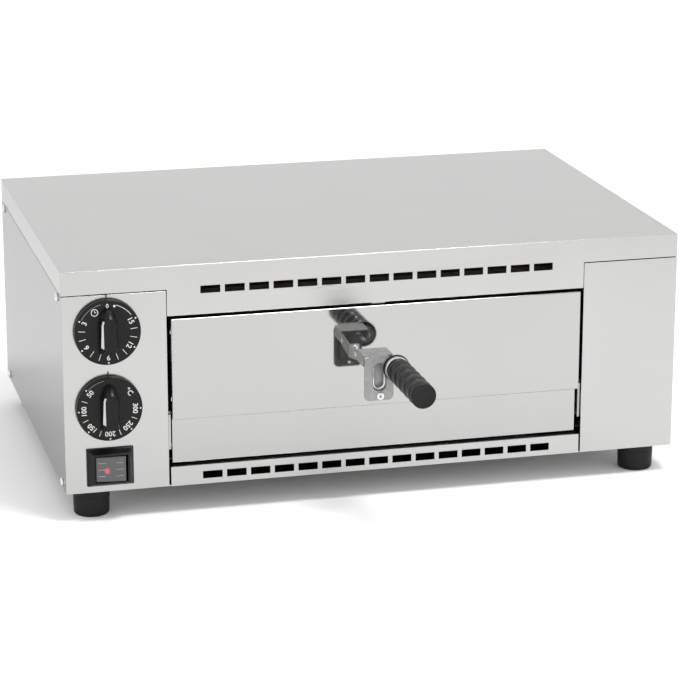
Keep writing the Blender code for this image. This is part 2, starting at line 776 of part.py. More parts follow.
def build_drawer_front():
    z0, z1 = DRAWER_Z
    bm = bmesh.new()
    y = -DRAWER_PROUD
    blank(bm, [at(DRAWER_L, y, z0), at(DRAWER_R, y, z0), at(DRAWER_R, y, z1), at(DRAWER_L, y, z1)])
    fold(bm, rim(bm, lambda p: True), (0, DRAWER_FOLD, 0))
    front = sheet("drawer_front", bm, (0, -1, 0), stainless())
    bm = bmesh.new()
    for x in (DRAWER_L, DRAWER_R):
        for z in (z0, z1):
            box_in(bm, at(x - 0.0022, -0.0008, z - 0.0016), at(x + 0.0022, 0.012, z + 0.0016))
    cut(front, tool("corner_reliefs", bm))
    places = [at(x, 0.004, z) for x in (DRAWER_L, DRAWER_R) for z in RIVET_ZS]
    drill(front, "side_rivet_holes", places, (1, 0, 0), 0.0019, 0.004, 8)
    drill(front, "bracket_rivet_holes", bracket_rivet_places(), (0, 1, 0), 0.0016, 0.004, 8)
    left, right = DRAWER_L + 0.0045, DRAWER_R - 0.0045
    box("drawer_inner_panel", at(left, 0.0084, z0 + 0.0008), at(right, 0.0094, z1 - 0.0008), aluminised())
    low, high = at(left, -0.0006, z0 + 0.0015), at(right, 0.0080, z1 - 0.0015)
    wool = box("drawer_insulation", low, high, mineral_wool())
    drill(wool, "wool_rivet_holes", bracket_rivet_places(), (0, 1, 0), 0.0027, 0.012, 8)


def arm_outline(x):
    """A tall tab behind the drawer front, then a strip that runs back along the runner."""
    low = RUNNER_Z[1] + GAP
    corners = (
        (-0.0006, low), (RACK_END_Y, low), (RACK_END_Y, low + ARM_H), (0.024, low + ARM_H),
        (0.012, low + 0.030), (0.012, 0.152), (-0.0006, 0.152),
    )
    return [at(x, y, z) for y, z in corners]


def build_rack_arms():
    for side in ("left", "right"):
        x = ARM_X if side == "left" else mirrored(ARM_X)
        run = Vector((ARM_T if side == "left" else -ARM_T, 0, 0))
        arm = extruded(f"rack_arm_{side}", arm_outline(x), run, stainless())
        places = [at(x, 0.004, z) for z in RIVET_ZS]
        drill(arm, f"arm_holes_{side}", places, (1, 0, 0), 0.0019, 0.006, 8)


def build_wire_rack():
    """Long wires welded over three cross rods, between the arms."""
    rod_r, wire_r = 0.0020, 0.0015
    z = 0.0745
    inner = ARM_X + ARM_T + GAP
    rods = bmesh.new()
    for y in (0.030, 0.180, 0.325):
        rod_in(rods, at(inner, y, z), at(mirrored(inner), y, z), rod_r, 8)
    rack = solid("wire_rack", rods, bright_steel())
    wires = bmesh.new()
    count, pitch, weld = 16, 0.0236, 0.0008
    first = OPEN_C - pitch * (count - 1) / 2
    wire_z = z + rod_r + wire_r - weld
    for i in range(count):
        x = first + i * pitch
        rod_in(wires, at(x, 0.016, wire_z), at(x, RACK_END_Y - 0.006, wire_z), wire_r, 6)
    join(rack, tool("rack_wires", wires))


def build_door_catch():
    """A leaf spring under the apron that holds the closed drawer."""
    outline = [at(OPEN_C - 0.006, y, z) for y, z in (
        (0.0020, 0.1590), (0.0050, 0.1584), (0.0080, 0.1590), (0.0130, 0.1590),
        (0.0130, 0.1602), (0.0020, 0.1602),
    )]
    extruded("door_catch", outline, Vector((0.012, 0, 0)), bright_steel())


# ---------------------------------------------------------------- handle

PLATE_BOTTOM = 0.0855
WEB_END = BRACKET_FRONT + 0.026
CHEEK_H = 0.0105
PLATE_BACK = BRACKET_FRONT + BRACKET_T
WINDOW_X = 0.2765
WINDOW_Z = 0.107


def bracket_rivet_places():
    return [at(BRACKET_X[0] + 0.0055, -DRAWER_PROUD, BRACKET_TOP - drop) for drop in (0.007, 0.013)]


def eyelet_place():
    return at(WINDOW_X + 0.0008, BRACKET_FRONT, 0.0895)


def build_handle_bracket():
    """An arm from the drawer front that turns over into a short web, whose end folds down into a plate."""
    x0, x1 = BRACKET_X
    rear = -DRAWER_PROUD - GAP
    relief = BRACKET_FRONT + 0.005
    bm = bmesh.new()
    for y0, y1 in ((BRACKET_FRONT, relief), (relief, WEB_END)):
        blank(bm, [at(x, y, BRACKET_TOP) for x, y in ((x0, y0), (x1, y0), (x1, y1), (x0, y1))])
    bmesh.ops.remove_doubles(bm, verts=bm.verts, dist=1e-6)
    for x in (x0, x1):
        fold(bm, rim(bm, lambda p: close(p.x, x) and p.y > relief - 1e-4), (0, 0, -CHEEK_H))
    arm = rim(bm, lambda p: close(p.x, x0) and close(p.y, WEB_END))
    arm_end = fold(bm, arm, (0, rear - WEB_END, -0.004))
    for vert in {v for e in arm_end for v in e.verts}:
        if (vert.co + ORIGIN).z < BRACKET_TOP - 0.010:
            vert.co.z -= 0.0015
    fold(bm, arm_end, (0.0095, 0, 0))
    fold(bm, rim(bm, lambda p: close(p.y, BRACKET_FRONT)), (0, 0, PLATE_BOTTOM - BRACKET_TOP))
    feet = [v for v in bm.verts if close((v.co + ORIGIN).z, PLATE_BOTTOM)]
    bmesh.ops.bevel(bm, geom=feet, offset=0.0045, segments=4, profile=0.5, affect="VERTICES", material=-1)
    bracket = sheet("handle_bracket", bm, (0, 0, 1), galvanised(), BRACKET_T)
    cut(bracket, plate_corners())
    join(bracket, plate_lug())
    cut(bracket, plate_window())
    drill(bracket, "rod_hole", [at(GRIP_X, BRACKET_FRONT, GRIP_Z)], (0, 1, 0), ROD_R + GAP, 0.008, 16)
    drill(bracket, "eyelet_hole", [eyelet_place()], (0, 1, 0), 0.0023, 0.008, 10)
    seats = [place + Vector((0, -0.001, 0)) for place in bracket_rivet_places()]
    drill(bracket, "foot_rivet_holes", seats, (0, 1, 0), 0.0016, 0.006, 8)
    pivots = [at(sum(BRACKET_X) / 2, -0.050, 0.1195)]
    drill(bracket, "bail_holes", pivots, (1, 0, 0), 0.0014, 0.040, 8)


def plate_corners():
    """The stock cut away beside the neck that the plate hangs from."""
    bm = bmesh.new()
    radius, neck, drop = 0.004, 0.0052, 0.0016
    for x, inward in ((BRACKET_X[0], 1), (BRACKET_X[1], -1)):
        outline = [(-0.001, 0.001), (neck, 0.001), (neck, -drop)]
        for i in range(5):
            angle = math.radians(90 + 22.5 * i)
            outline.append((radius * (1 + math.cos(angle)), radius * (math.sin(angle) - 1) - drop))
        outline.append((-0.001, -drop - radius))
        ring = [at(x + inward * across, BRACKET_FRONT - 0.002, BRACKET_TOP + up) for across, up in outline]
        loft_in(bm, [ring, [p + Vector((0, 0.0055, 0)) for p in ring]])
    return tool("plate_corners", bm)


def plate_lug():
    """The ear of the plate that carries the grip's rod."""
    bm = bmesh.new()
    steps = 10
    centre = (GRIP_X + 0.0015, GRIP_Z)
    outline = [at(BRACKET_X[1] - 0.004, BRACKET_FRONT, centre[1] + s * 0.0085) for s in (1, -1)]
    for i in range(steps + 1):
        angle = -math.pi / 2 + math.pi * i / steps
        outline.append(at(
            centre[0] + 0.0085 * math.cos(angle), BRACKET_FRONT, centre[1] + 0.0085 * math.sin(angle),
        ))
    loft_in(bm, [outline, [p + Vector((0, BRACKET_T, 0)) for p in outline]])
    return tool("plate_lug", bm)


def plate_window():
    """An upright window with round ends."""
    bm = bmesh.new()
    radius, half, steps = 0.0065, 0.0070, 8
    outline = []
    for end in (1, -1):
        for i in range(steps + 1):
            angle = (0 if end > 0 else math.pi) + math.pi * i / steps
            outline.append(at(
                WINDOW_X + radius * math.cos(angle), BRACKET_FRONT - 0.002,
                WINDOW_Z + end * half + radius * math.sin(angle),
            ))
    loft_in(bm, [outline, [p + Vector((0, 0.006, 0)) for p in outline]])
    return tool("plate_window", bm)


def build_wire_bail():
    """A bent wire loop that hangs behind the window from the two cheeks."""
    leg, pivot_y, hang_y = 0.0052, -0.0500, -0.0548
    pivot_z, low = 0.1195, 0.1010

    def side(sign):
        return [
            at(WINDOW_X + sign * (0.0132 if sign > 0 else 0.0142), pivot_y, pivot_z),
            at(WINDOW_X + sign * 0.0085, pivot_y, pivot_z),
            at(WINDOW_X + sign * 0.0068, pivot_y - 0.0006, pivot_z - 0.0006),
            at(WINDOW_X + sign * 0.0058, pivot_y - 0.0022, pivot_z - 0.0022),
            at(WINDOW_X + sign * leg, hang_y, pivot_z - 0.0052),
            at(WINDOW_X + sign * leg, hang_y, low),
        ]

    arc = []
    steps = 8
    for i in range(1, steps):
        angle = math.pi + math.pi * i / steps
        arc.append(at(WINDOW_X + leg * math.cos(angle), hang_y, low + leg * math.sin(angle)))
    tube("wire_bail", [side(-1) + arc + side(1)[::-1]], 0.0010, bright_steel(), 2)


def build_eyelet():
    profile = (
        (0.0012, -0.0024), (0.0020, -0.0024), (0.0020, 0.0), (0.0036, 0.0), (0.0033, 0.0008),
        (0.0012, 0.0009),
    )
    place = eyelet_place() - Vector((0, GAP, 0))
    turned("plate_eyelet", profile, place, (0, -1, 0), bright_steel(), 14, ring=True)


def build_grip():
    """A rod riveted into the plate's ear, with a washer, a ferrule and a ribbed grip threaded over it."""
    bore = ROD_R + GAP
    rod = ((0.0, 0.0), (0.0052, 0.0), (0.0052, 0.0014), (ROD_R, 0.0014), (ROD_R, 0.0850), (0.0, 0.0850))
    turned("handle_rod", rod, at(GRIP_X, PLATE_BACK + GAP + 0.0014, GRIP_Z), (0, -1, 0), bright_steel(), 16)
    start = BRACKET_FRONT - GAP
    washer = ((bore, 0.0), (0.0123, 0.0), (0.0123, 0.0018), (0.0116, 0.0024), (bore, 0.0024))
    turned("grip_washer", washer, at(GRIP_X, start, GRIP_Z), (0, -1, 0), black_plastic(), 24, ring=True)
    start -= 0.0024 + GAP
    ferrule = (
        (bore, 0.0), (0.0112, 0.0), (0.0116, 0.0004), (0.0116, 0.0030), (0.0106, 0.0040), (bore, 0.0040),
    )
    turned("grip_ferrule", ferrule, at(GRIP_X, start, GRIP_Z), (0, -1, 0), bright_steel(), 24, ring=True)
    start -= 0.0040 + GAP
    cap_h = 0.0040
    length = HANDLE_REACH + start - cap_h - GAP
    place = at(GRIP_X, start, GRIP_Z)
    turned("grip", grip_profile(bore, length), place, (0, -1, 0), black_plastic(), 20, ring=True)
    cap = ((0.0, 0.0), (0.0113, 0.0), (0.0113, 0.0032), (0.0107, cap_h), (0.0, cap_h))
    turned("grip_end_cap", cap, at(GRIP_X, -HANDLE_REACH + cap_h, GRIP_Z), (0, -1, 0), black_plastic(), 24)


def grip_profile(bore, length):
    """Rounded ribs with narrow grooves between them."""
    groove_r = 0.0094
    pitch = length / GRIP_RIBS
    profile = [(bore, 0.0)]
    for rib in range(GRIP_RIBS):
        for share, radius in ((0.06, groove_r), (0.22, GRIP_R), (0.70, GRIP_R), (0.94, groove_r)):
            profile.append((radius, (rib + share) * pitch))
    profile[1] = (groove_r, 0.0)
    profile[-1] = (0.0108, length)
    return profile + [(bore, length)]


# ---------------------------------------------------------------- crumb tray

def build_tray_front():
    half = TRAY_FRONT_W / 2
    z0, z1 = TRAY_FRONT_Z
    x0, x1 = OPEN_C - half, OPEN_C + half
    y = TRAY_FRONT_Y
    bm = bmesh.new()
    blank(bm, [at(x0, y, z0), at(x1, y, z0), at(x1, y, z1), at(x0, y, z1)])
    fold(bm, rim(bm, lambda p: True), (0, 0.006, 0))
    sheet("tray_front", bm, (0, -1, 0), stainless())


def build_crumb_tray():
    """A shallow pan whose side lips hang on the runners' lower ledges."""
    x0 = OPEN_L + 0.0076
    x1 = mirrored(x0)
    floor_z, lip_z = 0.0220, RUNNER_Z[0] + RUNNER_T + GAP
    y0, lip_y, y1 = TRAY_FRONT_Y + SHEET + GAP, 0.013, 0.320
    bm = bmesh.new()
    for near, far in ((y0, lip_y), (lip_y, y1)):
        blank(bm, [at(x, y, floor_z) for x, y in ((x0, near), (x1, near), (x1, far), (x0, far))])
    bmesh.ops.remove_doubles(bm, verts=bm.verts, dist=1e-6)
    front = rim(bm, lambda p: close(p.y, y0))
    walls = [e for e in rim(bm, lambda p: True) if e not in front]
    fold(bm, walls, (0, 0, lip_z - floor_z))
    fold(bm, front, (0, 0, 0.012))
    for x, out in ((x0, -0.004), (x1, 0.004)):
        fold(bm, rim(bm, lambda p: close(p.x, x) and close(p.z, lip_z) and p.y > lip_y - 1e-4), (out, 0, 0))
    sheet("crumb_tray", bm, (0, 0, -1), stainless())


def build_all():
    build_top_cover()
    build_control_column()
    build_side_panel("right_side_panel", "right")
    build_base_pan()
    build_rear_panel()
    build_side_screws()
    build_feet()
    build_cable_gland()
    build_chamber()
    build_insulation()
    build_heat_shield()
    build_runners()
    build_elements()
    build_element_bars()
    build_bushes()
    build_door_catch()
    build_control_cases()
    build_knobs()
    build_switch()
    build_thermostat_bulb()
    build_wiring()
    build_drawer_front()
    build_rack_arms()
    build_wire_rack()
    build_handle_bracket()
    build_wire_bail()
    build_eyelet()
    build_grip()
    build_tray_front()
    build_crumb_tray()


clear_scene()
build_all()
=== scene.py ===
"""The looks of a countertop pizza oven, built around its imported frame.

Every piece is in metres, in the frame's own axes: +X to the oven's right, +Y to its back, +Z up, with the
bench at z = 0. Sheet pieces are copies of the frame's solids with their bends rounded and their cut edges
eased; knobs, grip, screws, feet, switch and rack are made new.
"""
import json
import math

import bmesh
import bpy
from mathutils import Matrix, Vector

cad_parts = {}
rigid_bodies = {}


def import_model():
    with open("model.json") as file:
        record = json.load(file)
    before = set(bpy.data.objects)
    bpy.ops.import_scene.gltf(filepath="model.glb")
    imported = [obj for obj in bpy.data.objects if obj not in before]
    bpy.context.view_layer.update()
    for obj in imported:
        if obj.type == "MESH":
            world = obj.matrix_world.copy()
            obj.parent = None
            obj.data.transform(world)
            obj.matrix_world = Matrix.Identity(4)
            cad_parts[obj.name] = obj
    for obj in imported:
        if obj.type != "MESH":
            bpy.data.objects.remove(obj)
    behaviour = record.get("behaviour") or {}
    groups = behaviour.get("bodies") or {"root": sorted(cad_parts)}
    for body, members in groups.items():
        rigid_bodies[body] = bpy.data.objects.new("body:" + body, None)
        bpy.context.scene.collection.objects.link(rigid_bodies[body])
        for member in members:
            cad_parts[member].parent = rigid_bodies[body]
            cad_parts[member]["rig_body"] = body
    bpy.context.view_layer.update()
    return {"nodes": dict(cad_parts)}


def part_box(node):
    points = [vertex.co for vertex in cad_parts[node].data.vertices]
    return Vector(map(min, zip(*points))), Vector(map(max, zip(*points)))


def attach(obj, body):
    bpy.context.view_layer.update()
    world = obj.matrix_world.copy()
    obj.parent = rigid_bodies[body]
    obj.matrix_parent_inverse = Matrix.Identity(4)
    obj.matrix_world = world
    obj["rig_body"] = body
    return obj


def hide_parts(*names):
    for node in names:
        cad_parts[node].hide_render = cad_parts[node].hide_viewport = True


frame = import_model()

X, Y, Z = Vector((1, 0, 0)), Vector((0, 1, 0)), Vector((0, 0, 1))
TOWARDS_USER = -Y
MM = 0.001

# Sheet work
BEND = 1.3 * MM
EASE = 0.15 * MM

# Pan-head screws
SCREW_R = 4.0 * MM
SCREW_HEAD = 2.3 * MM

# Dials
DIAL_R = 30 * MM
DIAL_BACK = 0.8 * MM  # clear of the panel
DIAL_FACE = 5.8 * MM
BAR_FRONT = 20 * MM
ARCH = 2.5  # how square the bar's shoulders are
BAR_SHARES = (0.0, 0.25, 0.45, 0.6, 0.72, 0.82, 0.9, 0.96, 1.0)
PRINT = 0.08 * MM  # height of the pad printing above its ground
TIMER_START, TIMER_STEP = -7.0, -19.25  # degrees at 0, and for each minute
HEAT_START, HEAT_STEP = -4.0, -0.88  # degrees at 0, and for each degree Celsius

# The camera looks at the front's plane, a little left of the middle
VIEW_AIM = (-35.7 * MM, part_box("left_side_panel")[0].y, 154.7 * MM)
VIEW_TURN = math.radians(14.44)
VIEW_TILT = math.radians(16.14)
VIEW_DISTANCE = 2.482
VIEW_LENS = 144.4


# ---------------------------------------------------------------- materials

def linear(shade):
    """An sRGB hex colour as linear RGBA."""
    parts = [int(shade[i:i + 2], 16) / 255 for i in (1, 3, 5)]
    return [p / 12.92 if p <= 0.04045 else ((p + 0.055) / 1.055) ** 2.4 for p in parts] + [1.0]


def add(tree, kind, inputs=None, **settings):
    """Adds a node with its settings, and sets or links its inputs."""
    node = tree.nodes.new("ShaderNode" + kind)
    for name, value in settings.items():
        setattr(node, name, value)
    for socket, value in (inputs or {}).items():
        if isinstance(value, bpy.types.NodeSocket):
            tree.links.new(value, node.inputs[socket])
        else:
            node.inputs[socket].default_value = value
    return node


def start(name, metallic=0.0, **values):
    """A new material: its node tree, its shader and the piece's own coordinates."""
    made = bpy.data.materials.new(name)
    made.use_nodes = True
    tree = made.node_tree
    shader = tree.nodes["Principled BSDF"]
    shader.inputs["Metallic"].default_value = metallic
    for socket, value in values.items():
        shader.inputs[socket.replace("_", " ").title().replace("Ior", "IOR")].default_value = value
    return made, tree, shader, add(tree, "TexCoord").outputs["Object"]


def rolled_sheet(name, light, dark, roughness, spread, grain, relief=0.04, wave=0.0, edge="#ECECEC"):
    """Sheet metal with a fine grain along one axis, soft handling marks, and a slow wave in its flatness."""
    made, tree, shader, place = start(name, 1.0)
    shader.inputs["Specular Tint"].default_value = linear(edge)
    # The real grain is 0.1 mm wide, too fine to show, so it is drawn 0.5 mm wide and 60 mm long.
    scale = [1 / 0.06 if axis in grain else 1 / 0.0005 for axis in "xyz"]
    along = add(tree, "Mapping", {"Vector": place, "Scale": scale}).outputs[0]
    lines = add(tree, "TexNoise", {"Vector": along, "Scale": 1.0, "Detail": 3.0}).outputs[0]
    smears = add(tree, "TexNoise", {"Vector": place, "Scale": 1 / 0.11, "Detail": 2.0}).outputs[0]
    both = add(tree, "Math", {0: lines, 1: smears}, operation="ADD").outputs[0]
    rough = add(tree, "MapRange", {
        "Value": both, "From Min": 0.7, "From Max": 1.3, "To Min": roughness - spread,
        "To Max": roughness + spread,
    }).outputs[0]
    shade = add(tree, "Mix", {
        "Factor": add(tree, "MapRange", {"Value": both, "From Min": 0.6, "From Max": 1.4}).outputs[0],
        6: linear(dark), 7: linear(light),
    }, data_type="RGBA").outputs[2]
    swell = add(tree, "TexNoise", {"Vector": place, "Scale": 1 / 0.09, "Detail": 0.0}).outputs[0]
    flatness = add(tree, "Bump", {"Height": swell, "Strength": 1.0, "Distance": wave}).outputs[0]
    bump = add(tree, "Bump", {
        "Height": lines, "Strength": relief, "Distance": 0.0001, "Normal": flatness,
    }).outputs[0]
    for socket, value in (("Base Color", shade), ("Roughness", rough), ("Normal", bump)):
        tree.links.new(value, shader.inputs[socket])
    return made


def speckled(name, light, dark, roughness, spread, size, metallic=0.0, relief=0.1, depth=0.0001, **values):
    """A surface with a fine grain of one size: moulded, cast, sintered, fired or plated."""
    made, tree, shader, place = start(name, metallic, **values)
    grain = add(tree, "TexNoise", {"Vector": place, "Scale": 1 / size, "Detail": 4.0}).outputs[0]
    patches = add(tree, "TexNoise", {"Vector": place, "Scale": 0.08 / size, "Detail": 2.0}).outputs[0]
    shade = add(tree, "Mix", {
        "Factor": add(tree, "MapRange", {"Value": patches, "From Min": 0.3, "From Max": 0.7}).outputs[0],
        6: linear(dark), 7: linear(light),
    }, data_type="RGBA").outputs[2]
    rough = add(tree, "MapRange", {
        "Value": grain, "From Min": 0.3, "From Max": 0.7, "To Min": roughness - spread,
        "To Max": roughness + spread,
    }).outputs[0]
    bump = add(tree, "Bump", {"Height": grain, "Strength": relief, "Distance": depth}).outputs[0]
    for socket, value in (("Base Color", shade), ("Roughness", rough), ("Normal", bump)):
        tree.links.new(value, shader.inputs[socket])
    return made


def hot_dip_zinc(name):
    """Galvanised steel: dull zinc with a 5 mm spangle, each crystal its own grey and gloss."""
    made, tree, shader, place = start(name, 0.55)
    cells = add(tree, "TexVoronoi", {"Vector": place, "Scale": 1 / 0.005}).outputs["Color"]
    crystal = add(tree, "SeparateColor", {"Color": cells}).outputs[0]
    fine = add(tree, "TexNoise", {"Vector": place, "Scale": 1 / 0.0006, "Detail": 3.0}).outputs[0]
    both = add(tree, "Math", {0: crystal, 1: fine}, operation="ADD").outputs[0]
    shade = add(tree, "Mix", {
        "Factor": add(tree, "MapRange", {"Value": both, "From Min": 0.2, "From Max": 1.6}).outputs[0],
        6: linear("#858685"), 7: linear("#9E9E9D"),
    }, data_type="RGBA").outputs[2]
    rough = add(tree, "MapRange", {
        "Value": both, "From Min": 0.2, "From Max": 1.6, "To Min": 0.42, "To Max": 0.58,
    }).outputs[0]
    bump = add(tree, "Bump", {"Height": both, "Strength": 0.12, "Distance": 0.0001}).outputs[0]
    for socket, value in (("Base Color", shade), ("Roughness", rough), ("Normal", bump)):
        tree.links.new(value, shader.inputs[socket])
    return made


def spun_fibre(name, light, dark, thread, relief):
    """Mineral wool or a woven glass sleeve: crossed fibres of one thickness."""
    made, tree, shader, place = start(name)
    fine, coarse = 1 / thread, 0.1 / thread
    strands = [add(tree, "TexNoise", {
        "Vector": add(tree, "Mapping", {"Vector": place, "Scale": scale}).outputs[0], "Scale": 1.0,
    }).outputs[0] for scale in ((fine, coarse, fine), (coarse, fine, fine))]
    crossed = add(tree, "Math", {0: strands[0], 1: strands[1]}, operation="MULTIPLY").outputs[0]
    shade = add(tree, "Mix", {
        "Factor": add(tree, "MapRange", {"Value": crossed, "From Min": 0.12, "From Max": 0.4}).outputs[0],
        6: linear(dark), 7: linear(light),
    }, data_type="RGBA").outputs[2]
    bump = add(tree, "Bump", {"Height": crossed, "Strength": relief, "Distance": thread}).outputs[0]
    shader.inputs["Roughness"].default_value = 0.9
    tree.links.new(shade, shader.inputs["Base Color"])
    tree.links.new(bump, shader.inputs["Normal"])
    return made


def smoked_lens(name, glow_at, glow_r):
    """Smoked polycarbonate: a dark translucent rocker, with the lamp behind it seen as a soft red spot."""
    made, tree, shader, place = start(name, roughness=0.14, ior=1.58)
    shader.inputs["Coat Weight"].default_value = 0.4
    centred = add(tree, "Mapping", {"Vector": place, "Location": [-c for c in glow_at]}).outputs[0]
    distance = add(tree, "VectorMath", {0: centred}, operation="LENGTH").outputs["Value"]
    ripple = add(tree, "TexNoise", {"Vector": place, "Scale": 1 / 0.004, "Detail": 1.0}).outputs[0]
    uneven = add(tree, "Math", {0: ripple, 1: 0.003}, operation="MULTIPLY").outputs[0]
    reach = add(tree, "Math", {0: distance, 1: uneven}, operation="ADD").outputs[0]
    glow = add(tree, "MapRange", {
        "Value": reach, "From Min": glow_r * 1.35, "From Max": glow_r * 0.45,
    }, interpolation_type="SMOOTHSTEP").outputs[0]
    shade = add(tree, "Mix", {
        "Factor": glow, 6: linear("#3E3E40"), 7: linear("#B4404E"),
    }, data_type="RGBA").outputs[2]
    light = add(tree, "Math", {0: glow, 1: 0.35}, operation="MULTIPLY").outputs[0]
    shader.inputs["Emission Color"].default_value = linear("#F0566A")
    tree.links.new(shade, shader.inputs["Base Color"])
    tree.links.new(light, shader.inputs["Emission Strength"])
    return made


# 304 stainless sheet with a satin finish: an even soft grey that carries only broad reflections
satin_steel = rolled_sheet("satin_stainless_steel", "#B9B9B8", "#B2B2B1", 0.22, 0.02, "x")
# The side panels and their front columns use a copy of the same satin sheet with its grain laid along x and
# y. Its colour is a shade darker and its edge tint dimmer: painted shade for the sides.
satin_side_painted_shade = rolled_sheet(
    "satin_stainless_steel_side_painted_shade", "#B8B8B7", "#B1B1B0", 0.22, 0.02, "xy", edge="#DCDCDC",
)
# The drawer front is the same sheet, polished: it mirrors the handle, a little rippled
polished_steel = rolled_sheet("polished_stainless_steel", "#B0B0AF", "#ACACAB", 0.06, 0.01, "x", 0.004, 2e-5)
# Mill finish inside, as rolled, duller and greyer
mill_steel = rolled_sheet("mill_finish_stainless_steel", "#B8B7B6", "#A6A5A4", 0.33, 0.05, "y", 0.08)
# Aluminised steel: dull silver with a slight bloom
aluminised = rolled_sheet("aluminised_steel", "#A8A9AB", "#929496", 0.45, 0.06, "y", 0.1)
galvanised = hot_dip_zinc("galvanised_steel")
# Bright zinc plate and polished wire: a clean, sharp shine with fine dulling
bright_zinc = speckled("bright_zinc_plate", "#DADBDC", "#CACCCE", 0.17, 0.05, 0.0008, 1.0, 0.03)
chromed_wire = speckled("chromed_wire", "#D6D7D8", "#C2C3C5", 0.13, 0.04, 0.001, 1.0, 0.02)
# Element sheath, oxidised brown-black where it has been hot
scaled_sheath = speckled("heat_scaled_sheath", "#5C534C", "#37322F", 0.5, 0.1, 0.0012, 0.8, 0.25)
copper = speckled("drawn_copper", "#BC8A62", "#9A6C4B", 0.32, 0.08, 0.001, 1.0, 0.05)
steatite = speckled("steatite", "#EAE5DA", "#DDD6C8", 0.42, 0.08, 0.0009, relief=0.12)
# Knobs: ABS from a lightly sparked mould, near black with a soft sheen
knob_abs = speckled(
    "sparked_black_abs", "#141414", "#0E0E0E", 0.30, 0.04, 0.0007, relief=0.08, specular_ior_level=0.2,
)
# Grip: phenolic, moulded smooth, black with a soft gloss
phenolic = speckled(
    "glossy_black_phenolic", "#090909", "#060606", 0.20, 0.03, 0.0012, relief=0.02, specular_ior_level=0.5,
)
# Nylon fittings, moulded: satin black with a broad, soft sheen
case_plastic = speckled(
    "satin_black_nylon", "#121212", "#0D0D0D", 0.34, 0.05, 0.0008, relief=0.08, specular_ior_level=0.25,
)
grey_case = speckled("grey_phenolic_case", "#918F89", "#807E78", 0.5, 0.06, 0.0009, relief=0.12)
rubber = speckled(
    "black_rubber", "#151515", "#0F0F0F", 0.6, 0.08, 0.0010, relief=0.2, specular_ior_level=0.25,
)
white_ink = speckled("white_pad_print", "#DCDCD8", "#CACAC6", 0.55, 0.05, 0.0008, relief=0.05)
grey_ink = speckled("grey_pad_print", "#9A9A9C", "#858587", 0.55, 0.05, 0.0008, relief=0.05)
dark_mark = speckled("etched_mark", "#5E5F60", "#4A4B4C", 0.5, 0.05, 0.0008, relief=0.1)
mineral_wool = spun_fibre("mineral_wool", "#6A655A", "#403D36", 0.0008, 0.8)
glass_sleeve = spun_fibre("woven_glass_sleeve", "#CDC8B8", "#8F8A7C", 0.0006, 0.5)


# ---------------------------------------------------------------- shapes

def piece(name, bm, material, body, stands_for=(), sharp=35, even=False):
    """Turns a bmesh into a piece on its body. The frame's nodes that it stands for are hidden."""
    mesh = bpy.data.meshes.new(name)
    bm.to_mesh(mesh)
    bm.free()
    mesh.materials.append(material)
    mesh.shade_smooth()
    mesh.set_sharp_from_angle(angle=math.radians(sharp))
    obj = bpy.data.objects.new(name, mesh)
    bpy.context.scene.collection.objects.link(obj)
    if even:
        obj.modifiers.new("even_normals", "WEIGHTED_NORMAL").keep_sharp = True
    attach(obj, body)
    if stands_for:
        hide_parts(*stands_for)
    return obj


def body_of(node):
    return frame["nodes"][node]["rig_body"]


def stand_in(node, bm, material, name=None, sharp=35, even=False):
    """A new piece for one node of the frame."""
    return piece(name or f"{node}_finished", bm, material, body_of(node), (node,), sharp, even)


def middle(node):
    low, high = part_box(node)
    return (low + high) / 2


def merged_copy(node):
    """The node's shape with its corners joined and its flat faces whole."""
    bm = bmesh.new()
    bm.from_mesh(frame["nodes"][node].data)
    bmesh.ops.remove_doubles(bm, verts=bm.verts, dist=1e-6)
    bmesh.ops.dissolve_limit(bm, angle_limit=math.radians(0.3), verts=bm.verts, edges=bm.edges)
    return bm


def reach(face, edge):
    """How far a face runs from one of its edges."""
    origin = edge.verts[0].co
    along = (edge.verts[1].co - origin).normalized()
    return max((v.co - origin - along * (v.co - origin).dot(along)).length for v in face.verts)


def corner(edge, angle):
    return len(edge.link_faces) == 2 and edge.is_convex and edge.calc_face_angle(0) > math.radians(angle)


def round_off(bm, edges, width, segments):
    bmesh.ops.bevel(
        bm, geom=edges, offset=width, offset_type="OFFSET", affect="EDGES", segments=segments,
        profile=0.5, material=-1, clamp_overlap=True,
    )


def folded(node, material, bend=BEND, ease=EASE):
    """A sheet piece: bends rounded, cut edges eased."""
    bm = merged_copy(node)
    bends = [e for e in bm.edges if corner(e, 50) and min(reach(f, e) for f in e.link_faces) > 4 * MM]
    round_off(bm, bends, bend, 4)
    cuts = [e for e in bm.edges if corner(e, 60) and e.calc_length() > 3 * MM]
    round_off(bm, cuts, ease, 2)
    return stand_in(node, bm, material, even=True)


def moulded(node, material, radius, angle=30, segments=3):
    """A moulded or machined piece: every corner rounded alike."""
    bm = merged_copy(node)
    round_off(bm, [e for e in bm.edges if corner(e, angle)], radius, segments)
    return stand_in(node, bm, material, even=True)


def drawn(node, material, sharp=50):
    """A tube or wire: the frame's shape, shaded round."""
    bm = bmesh.new()
    bm.from_mesh(frame["nodes"][node].data)
    bmesh.ops.remove_doubles(bm, verts=bm.verts, dist=1e-6)
    return stand_in(node, bm, material, sharp=sharp)


def frame_at(place, axis):
    """The matrix that lays local +Z along an axis at a place."""
    return Matrix.Translation(place) @ axis.to_track_quat("Z", "Y").to_matrix().to_4x4()


def put(bm, part, matrix=None):
    """Moves a closed part of a shape into the piece's own bmesh."""
    if matrix:
        bmesh.ops.transform(part, matrix=matrix, verts=part.verts)
    bmesh.ops.recalc_face_normals(part, faces=part.faces)
    mesh = bpy.data.meshes.new("part")
    part.to_mesh(mesh)
    part.free()
    bm.from_mesh(mesh)
    bpy.data.meshes.remove(mesh)


